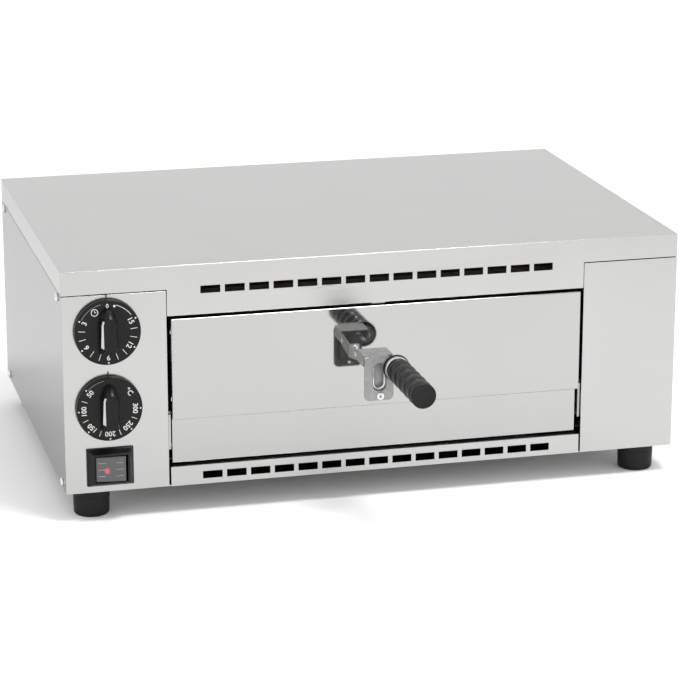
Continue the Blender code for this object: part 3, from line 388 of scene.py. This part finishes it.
def turned(bm, profile, place, axis, steps=48):
    """Spins a profile of (radius, height) points round an axis. A profile clear of the axis makes a ring."""
    part = bmesh.new()
    points = list(profile)
    if min(r for r, _ in points) > 0:
        points.append(points[0])
    verts = [part.verts.new((r, 0, h)) for r, h in points]
    edges = [part.edges.new(pair) for pair in zip(verts, verts[1:])]
    bmesh.ops.spin(
        part, geom=verts + edges, cent=(0, 0, 0), axis=(0, 0, 1), angle=2 * math.pi, steps=steps,
        use_merge=True,
    )
    bmesh.ops.remove_doubles(part, verts=part.verts, dist=1e-6)
    put(bm, part, frame_at(place, axis))


def fillet(r, h, radius, start, steps=5):
    """A quarter circle of profile points round a centre (r, h), from an angle in degrees, clockwise."""
    return [
        (r + radius * math.cos(a), h + radius * math.sin(a))
        for a in (math.radians(start - 90 * i / steps) for i in range(steps + 1))
    ]


def lofted(bm, layers, matrix=None, rim=0.0):
    """Bridges outlines into a closed solid, with the last outline's edge rounded."""
    part = bmesh.new()
    loops = []
    for layer in layers:
        verts = [part.verts.new(p) for p in layer]
        loops.append([part.edges.new(pair) for pair in zip(verts, verts[1:] + verts[:1])])
    for near, far in zip(loops, loops[1:]):
        bmesh.ops.bridge_loops(part, edges=near + far)
    for end in (loops[0], loops[-1]):
        bmesh.ops.edgeloop_fill(part, edges=end)
    if rim:
        round_off(part, loops[-1], rim, 3)
    put(bm, part, matrix)


def carved(bm, cutter):
    """The shape with the cutter's shape taken out of it."""
    both = []
    for name, shape in (("stock", bm), ("cutter", cutter)):
        mesh = bpy.data.meshes.new(name)
        shape.to_mesh(mesh)
        shape.free()
        both.append(bpy.data.objects.new(name, mesh))
        bpy.context.scene.collection.objects.link(both[-1])
    cut = both[0].modifiers.new("recess", "BOOLEAN")
    cut.operation = "DIFFERENCE"
    cut.solver = "EXACT"
    cut.use_self = True
    cut.object = both[1]
    shaped = both[0].evaluated_get(bpy.context.evaluated_depsgraph_get())
    made = bpy.data.meshes.new_from_object(shaped)
    result = bmesh.new()
    result.from_mesh(made)
    for obj in both:
        bpy.data.objects.remove(obj)
    bpy.data.meshes.remove(made)
    return result


def block(bm, size, matrix, rounding=0.0):
    """A box of one size, with every edge rounded, laid by a matrix."""
    part = bmesh.new()
    bmesh.ops.create_cube(part, size=1, matrix=Matrix.Diagonal((*size, 1)))
    if rounding:
        round_off(part, part.edges[:], rounding, 2)
    put(bm, part, matrix)


# ---------------------------------------------------------------- casing

FRONT_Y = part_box("left_side_panel")[0].y
BACK_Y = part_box("rear_panel")[1].y


def build_casing():
    folded("top_cover", satin_steel, bend=2.4 * MM)
    # The sides take the darker copy of the sheet: painted shade.
    for side in ("left", "right"):
        folded(f"{side}_side_panel", satin_side_painted_shade, bend=2.0 * MM)
    for node in ("base_pan", "rear_panel"):
        folded(node, satin_steel, bend=1.0 * MM)
    for node in ("runner_left", "runner_right", "rack_arm_left", "rack_arm_right"):
        folded(node, mill_steel, bend=0.6 * MM)
    folded("crumb_tray", mill_steel, bend=1.0 * MM)
    for node in ("chamber_shell", "heat_shield", "drawer_inner_panel"):
        folded(node, aluminised, bend=1.0 * MM)
    for node in ("upper_element_bar", "lower_element_bar"):
        moulded(node, aluminised, 0.2 * MM)


def screw_blank(radius, height, shank_r, shank):
    """A domed head with a cross recess, on a short shank."""
    edge = 0.28 * height
    dome = [
        (radius * math.cos(a), edge + (height - edge) * math.sin(a))
        for a in (math.radians(10 * i) for i in range(1, 9))
    ]
    bm = bmesh.new()
    turned(bm, [
        (0, -shank), (0.7 * shank_r, -shank), (shank_r, -shank + 0.6 * MM), (shank_r, 0), (radius, 0),
        (radius, edge), *dome, (0, height),
    ], Vector(), Z, 32)
    cutter = bmesh.new()
    for turn in (0, 90):
        arm = bmesh.new()
        bmesh.ops.create_cube(arm, size=1, matrix=Matrix.Diagonal((0.9 * radius, 0.22 * radius, height, 1)))
        lower = [v for v in arm.verts if v.co.z < 0]
        bmesh.ops.scale(arm, vec=(0.55, 0.8, 1), verts=lower)
        spun = Matrix.Rotation(math.radians(turn), 4, "Z")
        put(cutter, arm, Matrix.Translation((0, 0, 0.85 * height)) @ spun)
    return carved(bm, cutter)


def fasten(name, blank, place, axis, turn, material, body, stands_for=()):
    """Drives a copy of a blank, turned as it happened to stop."""
    bm = blank.copy()
    spun = frame_at(place, axis) @ Matrix.Rotation(math.radians(turn), 4, "Z")
    bmesh.ops.transform(bm, matrix=spun, verts=bm.verts)
    return piece(name, bm, material, body, stands_for)


def build_screws():
    blank = screw_blank(SCREW_R, SCREW_HEAD, 1.8 * MM, 7 * MM)
    for side, out in (("left", -1), ("right", 1)):
        for number, name in enumerate(("front_low", "front_top", "rear_low", "rear_top")):
            node = f"screw_{side}_{name}"
            low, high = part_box(node)
            seat = (high.x if out > 0 else low.x) - out * SCREW_HEAD
            place = Vector((seat, middle(node).y, middle(node).z))
            fasten(f"{node}_driven", blank, place, out * X, 37 * number + 11 * out, bright_zinc,
                   "casing", stands_for=(node,))
    low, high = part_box("rear_panel")
    rear = [(x, z) for x in (low.x + 8 * MM, high.x - 8 * MM) for z in (low.z + 10 * MM, low.z + 176 * MM)]
    rear.append(((low.x + high.x) / 2, low.z + 10 * MM))
    for number, (x, z) in enumerate(rear):
        place = Vector((x, BACK_Y + 0.3 * MM, z))
        fasten(f"screw_rear_{number + 1}", blank, place, Y, 53 * number + 20, bright_zinc, "casing")
    blank.free()


def build_feet():
    """Rubber feet with a moulded band, each held by a bolt and washer in its recess."""
    for end in ("front", "rear"):
        for side in ("left", "right"):
            node = f"foot_{end}_{side}"
            low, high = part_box(node)
            place = Vector((middle(node).x, middle(node).y, low.z))
            top = high.z - low.z
            bm = bmesh.new()
            turned(bm, [
                (6.0 * MM, 0.4 * MM), (6.4 * MM, 0), (14.0 * MM, 0),
                (15.2 * MM, 0.35 * MM), (16.0 * MM, 1.2 * MM), (16.3 * MM, 2.5 * MM), (16.75 * MM, 18.0 * MM),
                (16.45 * MM, 18.4 * MM), (16.45 * MM, 19.2 * MM), (16.8 * MM, 19.6 * MM),
                (17.0 * MM, top - 0.7 * MM),
                (16.5 * MM, top), (2.4 * MM, top), (2.4 * MM, 12 * MM), (6.0 * MM, 12 * MM),
            ], place, Z, 64)
            stand_in(node, bm, rubber)
            bm = bmesh.new()
            turned(bm, [
                (0, 8.2 * MM), (1.5 * MM, 8.2 * MM), (3.9 * MM, 8.6 * MM), (4.3 * MM, 9.4 * MM),
                (4.3 * MM, 11 * MM), (5.5 * MM, 11 * MM), (5.6 * MM, 11.2 * MM), (5.6 * MM, 11.8 * MM),
                (2.1 * MM, 11.8 * MM), (2.1 * MM, top), (0, top),
            ], place, Z, 32)
            piece(f"foot_bolt_{end}_{side}", bm, bright_zinc, "casing")


def build_cable_gland():
    """A gland with a hexagon on its body, a ribbed dome nut and a lock nut inside."""
    place = Vector((middle("cable_gland").x, BACK_Y, middle("cable_gland").z))
    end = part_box("cable_gland")[1].y - BACK_Y
    bm = bmesh.new()
    bore = 3.8 * MM
    turned(bm, [
        (bore, 0.3 * MM), (8.4 * MM, 0.3 * MM), (8.4 * MM, 5.4 * MM), (8.0 * MM, 5.6 * MM),
        (7.4 * MM, 10 * MM), (6.9 * MM, end - 1.4 * MM), (5.8 * MM, end), (bore + 0.4 * MM, end),
        (bore, end - 0.4 * MM),
    ], place, Y, 48)
    for first, last, size, sides in ((0.3 * MM, 4.8 * MM, 9.5 * MM, 6), (-7.0 * MM, -1.3 * MM, 8.5 * MM, 6)):
        turned(bm, [
            (bore + 1 * MM, first), (size - 0.7 * MM, first), (size, first + 0.7 * MM),
            (size, last - 0.7 * MM), (size - 0.7 * MM, last), (bore + 1 * MM, last),
        ], place, Y, sides)
    turned(bm, [(bore, -7 * MM), (5.9 * MM, -7 * MM), (5.9 * MM, 0.5 * MM), (bore, 0.5 * MM)], place, Y, 32)
    ribs = 18
    for i in range(ribs):
        turn = Matrix.Rotation(2 * math.pi * i / ribs, 4, "Z")
        block(bm, (0.7 * MM, 0.9 * MM, 6.0 * MM),
              frame_at(place, Y) @ turn @ Matrix.Translation((0, 7.9 * MM, 8.6 * MM)), 0.2 * MM)
    stand_in("cable_gland", bm, case_plastic)


# ---------------------------------------------------------------- controls

def dial_frame(node):
    """Local axes on the panel: x to the right, y up and z towards the user, from the node's axis."""
    centre = middle(node)
    return Matrix((
        (1, 0, 0, centre.x),
        (0, 0, -1, FRONT_Y),
        (0, 1, 0, centre.z),
        (0, 0, 0, 1),
    ))


def bar_outline(depth):
    """The pointer bar's half width, foot, shoulder and tip at one depth. Its nose slopes back."""
    share = (depth - DIAL_FACE) / (BAR_FRONT - DIAL_FACE)
    half = (8.5 - 1.1 * share - 2.2 * share ** 2) * MM
    foot = (-18.8 + 4.3 * share) * MM
    tip = (23.0 - 7.5 * max(share, 0) ** 2.2) * MM
    shoulder = (10.0 + share) * MM
    return half, foot, shoulder, tip


def bar_layer(depth):
    half, foot, shoulder, tip = bar_outline(depth)
    steps = 20
    points = [Vector((-half, foot, depth)), Vector((half, foot, depth))]
    for i in range(steps + 1):
        x = math.cos(math.pi * i / steps)
        points.append(Vector((half * x, shoulder + (tip - shoulder) * (1 - abs(x) ** ARCH), depth)))
    return points


def flank(height, depth):
    """A point on the bar's left flank, a print's thickness proud of it."""
    half, _, shoulder, tip = bar_outline(depth)
    rise = max(0.0, (height - shoulder) / (tip - shoulder))
    return Vector((-half * (1 - rise) ** (1 / ARCH) - 0.12 * MM, height, depth))


def build_pointer_stripe(node, body):
    """The white stripe down the bar's left flank, wide at its foot."""
    steps = 14
    part = bmesh.new()
    rows = []
    for outer in (0, 1):
        verts = []
        for i in range(steps + 1):
            share = i / steps
            depth = (19.0 - 0.4 * share) * MM if outer else (13.4 + 2.6 * share) * MM
            verts.append(part.verts.new(flank((-11.5 + 25.0 * share) * MM, depth)))
        rows += [part.edges.new(pair) for pair in zip(verts, verts[1:])]
    bmesh.ops.bridge_loops(part, edges=rows)
    bmesh.ops.solidify(part, geom=part.faces[:], thickness=0.1 * MM)
    bm = bmesh.new()
    put(bm, part, dial_frame(node))
    piece(f"{node}_stripe", bm, white_ink, body, sharp=80)


def build_knob(node):
    body = body_of(node)
    local = dial_frame(node)
    centre = Vector((middle(node).x, FRONT_Y, middle(node).z))
    bm = bmesh.new()
    turned(bm, [
        (0, DIAL_BACK), (DIAL_R - 1.0 * MM, DIAL_BACK), (DIAL_R, DIAL_BACK + 0.8 * MM),
        *[(r, h) for r, h in reversed(fillet(DIAL_R - 1.1 * MM, DIAL_FACE - 1.1 * MM, 1.1 * MM, 90, 6))],
        (DIAL_R - 1.9 * MM, DIAL_FACE - 0.15 * MM), (DIAL_R - 2.3 * MM, DIAL_FACE - 0.15 * MM),
        (DIAL_R - 2.8 * MM, DIAL_FACE), (12 * MM, DIAL_FACE), (0, DIAL_FACE),
    ], centre, TOWARDS_USER, 96)
    layers = [bar_layer(DIAL_FACE - 0.6 * MM)]
    layers += [bar_layer(DIAL_FACE + (BAR_FRONT - DIAL_FACE) * share) for share in BAR_SHARES]
    lofted(bm, layers, local, rim=0.8 * MM)
    stand_in(node, bm, knob_abs, f"{node}_moulded", sharp=40, even=True)
    build_pointer_stripe(node, body)


def lettering(text, size, weight):
    """Figures as a thin flat solid, centred on the origin and facing +Z."""
    curve = bpy.data.curves.new("figures", "FONT")
    curve.body = text
    curve.size = size
    curve.offset = weight
    curve.extrude = PRINT / 2
    curve.resolution_u = 3
    curve.align_x, curve.align_y = "CENTER", "CENTER"
    obj = bpy.data.objects.new("figures", curve)
    bpy.context.scene.collection.objects.link(obj)
    shaped = obj.evaluated_get(bpy.context.evaluated_depsgraph_get())
    mesh = bpy.data.meshes.new_from_object(shaped)
    part = bmesh.new()
    part.from_mesh(mesh)
    bpy.data.objects.remove(obj)
    bpy.data.curves.remove(curve)
    bpy.data.meshes.remove(mesh)
    bmesh.ops.remove_doubles(part, verts=part.verts, dist=1e-7)
    return part


def spoke(local, angle, radius):
    """A print's place on a dial: an angle clockwise from the top in degrees, and a radius."""
    lifted = Matrix.Translation((0, radius, DIAL_FACE + PRINT / 2))
    out = Matrix.Rotation(-math.radians(angle), 4, "Z") @ lifted
    return local @ out


def figures(bm, local, angle, radius, text, size=6.7 * MM):
    put(bm, lettering(text, size, 0.09 * MM), spoke(local, angle, radius))


def tick(bm, local, angle, first, last, width=0.5 * MM):
    block(bm, (width, last - first, PRINT), spoke(local, angle, (first + last) / 2))


def marker(bm, local, angle, radius, size=1.5 * MM):
    part = bmesh.new()
    bmesh.ops.create_cone(part, cap_ends=True, segments=3, radius1=size, radius2=size, depth=PRINT)
    put(bm, part, spoke(local, angle, radius))


def band(bm, matrix, radius, width, start, end, steps=32):
    """A printed arc about a local origin, from one angle to another, clockwise from the top in degrees."""
    part = bmesh.new()
    inner, outer = radius - width / 2, radius + width / 2
    corners = [(inner, 0), (outer, 0), (outer, PRINT), (inner, PRINT)]
    verts = [part.verts.new((0, r, h)) for r, h in corners]
    part.faces.new(verts)
    full = abs(end - start) >= 360
    bmesh.ops.rotate(part, verts=verts, matrix=Matrix.Rotation(-math.radians(start), 3, "Z"))
    if full:
        bmesh.ops.delete(part, geom=part.faces[:], context="FACES_ONLY")
    bmesh.ops.spin(
        part, geom=part.verts[:] + part.edges[:] + part.faces[:], cent=(0, 0, 0), axis=(0, 0, 1),
        angle=-math.radians(end - start), steps=steps, use_merge=full,
    )
    put(bm, part, matrix @ Matrix.Translation((0, 0, -PRINT / 2)))


def build_timer_print():
    local = dial_frame("timer_knob")
    flat = spoke(local, 0, 0)
    bm = bmesh.new()
    figures(bm, local, 0, 24.6 * MM, "0", 5.2 * MM)
    for minute in range(3, 16):
        angle = TIMER_START + TIMER_STEP * minute
        if minute % 3:
            tick(bm, local, angle, 20.6 * MM, 26.8 * MM)
        else:
            figures(bm, local, angle, 22.9 * MM, str(minute))
            marker(bm, local, angle, 27.9 * MM, 1.2 * MM)
    dot = bmesh.new()
    bmesh.ops.create_cone(dot, cap_ends=True, segments=20, radius1=1.1 * MM, radius2=1.1 * MM, depth=PRINT)
    put(bm, dot, spoke(local, 14.5, 25.0 * MM))
    band(bm, flat, 26.2 * MM, 0.5 * MM, 17, 54)
    clock = spoke(local, -31, 22.4 * MM)
    band(bm, clock, 3.0 * MM, 0.65 * MM, 0, 360)
    upright = clock @ Matrix.Rotation(math.radians(-31), 4, "Z")
    block(bm, (0.55 * MM, 2.0 * MM, PRINT), upright @ Matrix.Translation((0, 0.9 * MM, 0)))
    block(bm, (1.6 * MM, 0.55 * MM, PRINT), upright @ Matrix.Translation((0.7 * MM, 0, 0)))
    piece("timer_print", bm, white_ink, body_of("timer_knob"))
    bm = bmesh.new()
    band(bm, flat, 26.9 * MM, 0.35 * MM, -61, -12)
    piece("timer_print_arc", bm, grey_ink, body_of("timer_knob"))


def build_thermostat_print():
    local = dial_frame("thermostat_knob")
    bm = bmesh.new()
    for heat in range(50, 301, 25):
        angle = HEAT_START + HEAT_STEP * heat
        if heat % 50:
            tick(bm, local, angle, 21.4 * MM, 26.8 * MM)
        else:
            figures(bm, local, angle, 23.0 * MM, str(heat), 6.5 * MM)
            marker(bm, local, angle, 28.0 * MM, 1.1 * MM)
    figures(bm, local, 50, 23.2 * MM, "\u00b0C", 6.8 * MM)
    piece("thermostat_print", bm, white_ink, body_of("thermostat_knob"))
    bm = bmesh.new()
    band(bm, spoke(local, 0, 0), 26.9 * MM, 0.35 * MM, -45, -10)
    piece("thermostat_print_arc", bm, grey_ink, body_of("thermostat_knob"))


def build_index_marks():
    """A short mark on the panel above each dial."""
    bm = bmesh.new()
    for node in ("timer_knob", "thermostat_knob"):
        place = Matrix.Translation((0, DIAL_R + 1.9 * MM, PRINT / 2))
        block(bm, (1.7 * MM, 3.2 * MM, PRINT), dial_frame(node) @ place)
    piece("index_marks", bm, dark_mark, "casing")


def build_controls():
    for node in ("timer_knob", "thermostat_knob"):
        build_knob(node)
    build_timer_print()
    build_thermostat_print()
    build_index_marks()
    for node in ("timer_movement", "thermostat_body"):
        moulded(node, grey_case, 0.8 * MM)
    for node in ("timer_spindle", "thermostat_spindle"):
        moulded(node, bright_zinc, 0.3 * MM, angle=60)


def build_switch():
    """A raised splash collar round a smoked rocker with three moulded lines at each end."""
    moulded("switch_housing", case_plastic, 0.6 * MM)
    centre = middle("switch_rocker")
    lamp = Vector((centre.x - 4.4 * MM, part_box("switch_rocker")[0].y, centre.z - 1.0 * MM))
    lens = smoked_lens("smoked_polycarbonate", lamp, 4.2 * MM)
    moulded("switch_rocker", lens, 0.9 * MM)
    tilt = Matrix.Translation(Vector((centre.x, FRONT_Y - 1.0 * MM, centre.z))) @ Matrix.Rotation(
        math.radians(-5), 4, "Z")
    bm = bmesh.new()
    for x in (-8.0, 8.0):
        for z in (-6.2, 0.0, 6.2):
            place = tilt @ Matrix.Translation((x * MM, -9.22 * MM, z * MM))
            block(bm, (6.4 * MM, 0.30 * MM, 0.5 * MM), place, 0.1 * MM)
    piece("switch_rocker_lines", bm, grey_ink, body_of("switch_rocker"))


# ---------------------------------------------------------------- drawer and handle

def rivet(bm, place, axis, radius=3.0 * MM, height=1.1 * MM, shank=0.0):
    dome = [
        (radius * math.cos(a), height * math.sin(a)) for a in (math.radians(12 * i) for i in range(1, 8))
    ]
    turned(bm, [(0, -shank), (0.55 * radius, -shank), (0.55 * radius, 0), (radius, 0), *dome, (0, height)],
           place, axis, 28)


def build_drawer():
    folded("drawer_front", polished_steel, bend=1.0 * MM)
    folded("tray_front", polished_steel, bend=1.0 * MM)
    low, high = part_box("drawer_front")
    for x, out, side in ((low.x, -1, "left"), (high.x, 1, "right")):
        for z, level in ((low.z + 18.7 * MM, "low"), (low.z + 81.7 * MM, "top")):
            bm = bmesh.new()
            rivet(bm, Vector((x, FRONT_Y + 4 * MM, z)), out * X, shank=4 * MM)
            piece(f"drawer_rivet_{side}_{level}", bm, bright_zinc, "drawer")
    moulded("door_catch", mill_steel, 0.1 * MM, angle=50)


def build_rack():
    """Long wires laid over three cross rods and welded where they touch."""
    low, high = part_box("wire_rack")
    rod_r, wire_r, count = 2.0 * MM, 1.5 * MM, 16
    rod_z, wire_z = low.z + rod_r, high.z - wire_r
    rod_ys = (FRONT_Y + 30 * MM, FRONT_Y + 180 * MM, FRONT_Y + 325 * MM)
    bm = bmesh.new()
    for y in rod_ys:
        turned(bm, [(0, 0), (rod_r, 0), (rod_r, high.x - low.x), (0, high.x - low.x)],
               Vector((low.x, y, rod_z)), X, 20)
    length = high.y - low.y
    pitch = 23.6 * MM
    for i in range(count):
        x = middle("wire_rack").x + pitch * (i - (count - 1) / 2)
        nose = 0.8 * MM
        turned(bm, [
            (0, 0), (wire_r - nose, 0), (wire_r, nose), (wire_r, length - nose), (wire_r - nose, length),
            (0, length),
        ], Vector((x, low.y, wire_z)), Y, 14)
        for y in rod_ys:
            weld = bmesh.new()
            bmesh.ops.create_icosphere(weld, subdivisions=2, radius=1)
            bmesh.ops.scale(weld, vec=(2.1 * MM, 2.4 * MM, 1.3 * MM), verts=weld.verts)
            put(bm, weld, Matrix.Translation((x, y, wire_z - 1.0 * MM)))
    stand_in("wire_rack", bm, chromed_wire, sharp=45)


def build_bracket():
    folded("handle_bracket", galvanised, bend=0.8 * MM, ease=0.25 * MM)
    drawn("wire_bail", bright_zinc, sharp=80)
    low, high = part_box("wire_bail")
    centre = (low + high) / 2
    bm = bmesh.new()
    behind = Matrix.Translation((centre.x, low.y + 4.6 * MM, centre.z - 1 * MM))
    block(bm, (18 * MM, 0.8 * MM, 29 * MM), behind, 0.2 * MM)
    piece("window_backing", bm, galvanised, "drawer")
    low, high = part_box("plate_eyelet")
    place = Vector((middle("plate_eyelet").x, high.y, middle("plate_eyelet").z))
    bm = bmesh.new()
    bore, depth = 1.2 * MM, high.y - low.y
    turned(bm, [
        (bore, 0), (2.0 * MM, 0), (2.0 * MM, 2.4 * MM), (3.5 * MM, 2.4 * MM),
        *reversed(fillet(2.9 * MM, depth - 0.6 * MM, 0.6 * MM, 90, 4)), (1.9 * MM, depth),
        (bore, depth - 0.5 * MM),
    ], place, TOWARDS_USER, 32)
    stand_in("plate_eyelet", bm, bright_zinc)
    low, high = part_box("handle_bracket")
    bm = bmesh.new()
    for drop in (7 * MM, 13 * MM):
        rivet(bm, Vector((low.x + 5.5 * MM, high.y - 1.5 * MM, high.z - drop)), TOWARDS_USER, 2.5 * MM,
              1.0 * MM, shank=3 * MM)
    rivet(bm, Vector((low.x, low.y + 32 * MM, high.z - 6.6 * MM)), -X, 2.6 * MM, 0.9 * MM)
    piece("bracket_rivets", bm, bright_zinc, "drawer")


def grip_points(length):
    """Five full round ribs with narrow grooves, from the ferrule to the cap."""
    rib_r, groove_r, ribs, steps = 11.5 * MM, 8.3 * MM, 5, 14
    pitch = length / ribs
    points = []
    for rib in range(ribs):
        for i in range(steps + 1):
            share = i / steps
            swell = math.sin(math.pi * share) ** 0.8
            points.append((groove_r + (rib_r - groove_r) * swell, (rib + 0.02 + 0.96 * share) * pitch))
    return points


def build_grip():
    low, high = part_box("grip")
    place = Vector((middle("grip").x, high.y, middle("grip").z))
    length = high.y - low.y
    bore = 4.4 * MM
    bm = bmesh.new()
    turned(bm, [(bore, 0), (8.8 * MM, 0), *grip_points(length), (8.8 * MM, length), (bore, length)],
           place, TOWARDS_USER, 64)
    stand_in("grip", bm, phenolic, "ribbed_grip", sharp=70)
    low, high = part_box("grip_end_cap")
    reach_out, cap_r = high.y - low.y, (high.x - low.x) / 2
    bm = bmesh.new()
    turned(bm, [
        (0, 0), (cap_r - 0.4 * MM, 0), (cap_r, 0.4 * MM),
        *reversed(fillet(cap_r - 0.9 * MM, reach_out - 0.9 * MM, 0.9 * MM, 90, 5)),
        (cap_r - 1.6 * MM, reach_out - 0.25 * MM), (0, reach_out - 0.35 * MM),
    ], Vector((place.x, high.y, place.z)), TOWARDS_USER, 64)
    stand_in("grip_end_cap", bm, case_plastic)
    low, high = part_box("grip_washer")
    thick, outer = high.y - low.y, (high.x - low.x) / 2
    bm = bmesh.new()
    turned(bm, [
        (bore, 0), (outer - 0.3 * MM, 0), (outer, 0.3 * MM), (outer, thick - 0.9 * MM),
        (outer - 0.6 * MM, thick), (bore, thick),
    ], Vector((place.x, high.y, place.z)), TOWARDS_USER, 64)
    stand_in("grip_washer", bm, case_plastic)
    low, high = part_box("grip_ferrule")
    thick, outer = high.y - low.y, (high.x - low.x) / 2
    bm = bmesh.new()
    turned(bm, [
        (bore, 0), (outer - 0.4 * MM, 0), *reversed(fillet(outer - 0.5 * MM, 0.5 * MM, 0.5 * MM, 0, 4)),
        (outer, thick - 1.6 * MM), (outer - 0.6 * MM, thick - 0.7 * MM), (outer - 1.0 * MM, thick),
        (bore, thick),
    ], Vector((place.x, high.y, place.z)), TOWARDS_USER, 64)
    stand_in("grip_ferrule", bm, chromed_wire)
    drawn("handle_rod", bright_zinc)


# ---------------------------------------------------------------- inside

def build_inside():
    for node in ("upper_element", "lower_element"):
        drawn(node, scaled_sheath, sharp=60)
    for level in ("upper", "lower"):
        for side in ("left", "right"):
            moulded(f"{level}_bush_{side}", steatite, 0.3 * MM, angle=50, segments=2)
    moulded("terminal_block", steatite, 0.8 * MM)
    drawn("wiring_loom", glass_sleeve, sharp=60)
    drawn("thermostat_bulb", copper, sharp=60)
    for node in ("insulation_blanket", "insulation_rear", "drawer_insulation"):
        wool = frame["nodes"][node]
        wool.data.materials.clear()
        wool.data.materials.append(mineral_wool)


# ---------------------------------------------------------------- stage

def build_stage():
    mesh = bpy.data.meshes.new("floor")
    bm = bmesh.new()
    bmesh.ops.create_grid(bm, x_segments=1, y_segments=1, size=9)
    bm.to_mesh(mesh)
    bm.free()
    paper, _, shader, _ = start("matt_white_paper", roughness=0.9)
    shader.inputs["Base Color"].default_value = linear("#F7F7F7")
    mesh.materials.append(paper)
    floor = bpy.data.objects.new("floor", mesh)
    bpy.context.scene.collection.objects.link(floor)

    world = bpy.data.worlds.new("studio")
    world.use_nodes = True
    backdrop = world.node_tree.nodes["Background"]
    backdrop.inputs["Color"].default_value = (1, 1, 1, 1)
    height = add(world.node_tree, "SeparateXYZ", {
        0: add(world.node_tree, "TexCoord").outputs["Generated"],
    }).outputs["Z"]
    dimming = add(world.node_tree, "MapRange", {
        "Value": height, "From Min": 0.5, "From Max": 0.9, "To Min": 1.22, "To Max": 1.0,
    }).outputs[0]
    world.node_tree.links.new(dimming, backdrop.inputs["Strength"])
    bpy.context.scene.world = world
    bpy.context.scene.view_settings.view_transform = "Standard"

    place, aim = Vector((0.35, -0.62, 1.85)), Vector((0.05, -0.13, 0.2))
    light = bpy.data.lights.new("overhead_softbox", "AREA")
    light.shape = "RECTANGLE"
    light.size, light.size_y = 0.62, 0.38
    light.energy = 22
    lamp = bpy.data.objects.new("overhead_softbox", light)
    lamp.location = place
    lamp.rotation_mode = "QUATERNION"
    lamp.rotation_quaternion = (aim - place).to_track_quat("-Z", "Y")
    bpy.context.scene.collection.objects.link(lamp)


def build_camera():
    data = bpy.data.cameras.new("camera")
    data.lens = VIEW_LENS
    data.sensor_width = 36
    camera = bpy.data.objects.new("camera", data)
    bpy.context.scene.collection.objects.link(camera)
    back = Vector((
        -math.sin(VIEW_TURN) * math.cos(VIEW_TILT), -math.cos(VIEW_TURN) * math.cos(VIEW_TILT),
        math.sin(VIEW_TILT),
    ))
    camera.location = Vector(VIEW_AIM) + VIEW_DISTANCE * back
    camera.rotation_mode = "QUATERNION"
    camera.rotation_quaternion = (-back).to_track_quat("-Z", "Y")
    bpy.context.scene.camera = camera


build_camera()
build_casing()
build_screws()
build_feet()
build_cable_gland()
build_controls()
build_switch()
build_drawer()
build_rack()
build_bracket()
build_grip()
build_inside()
build_stage()
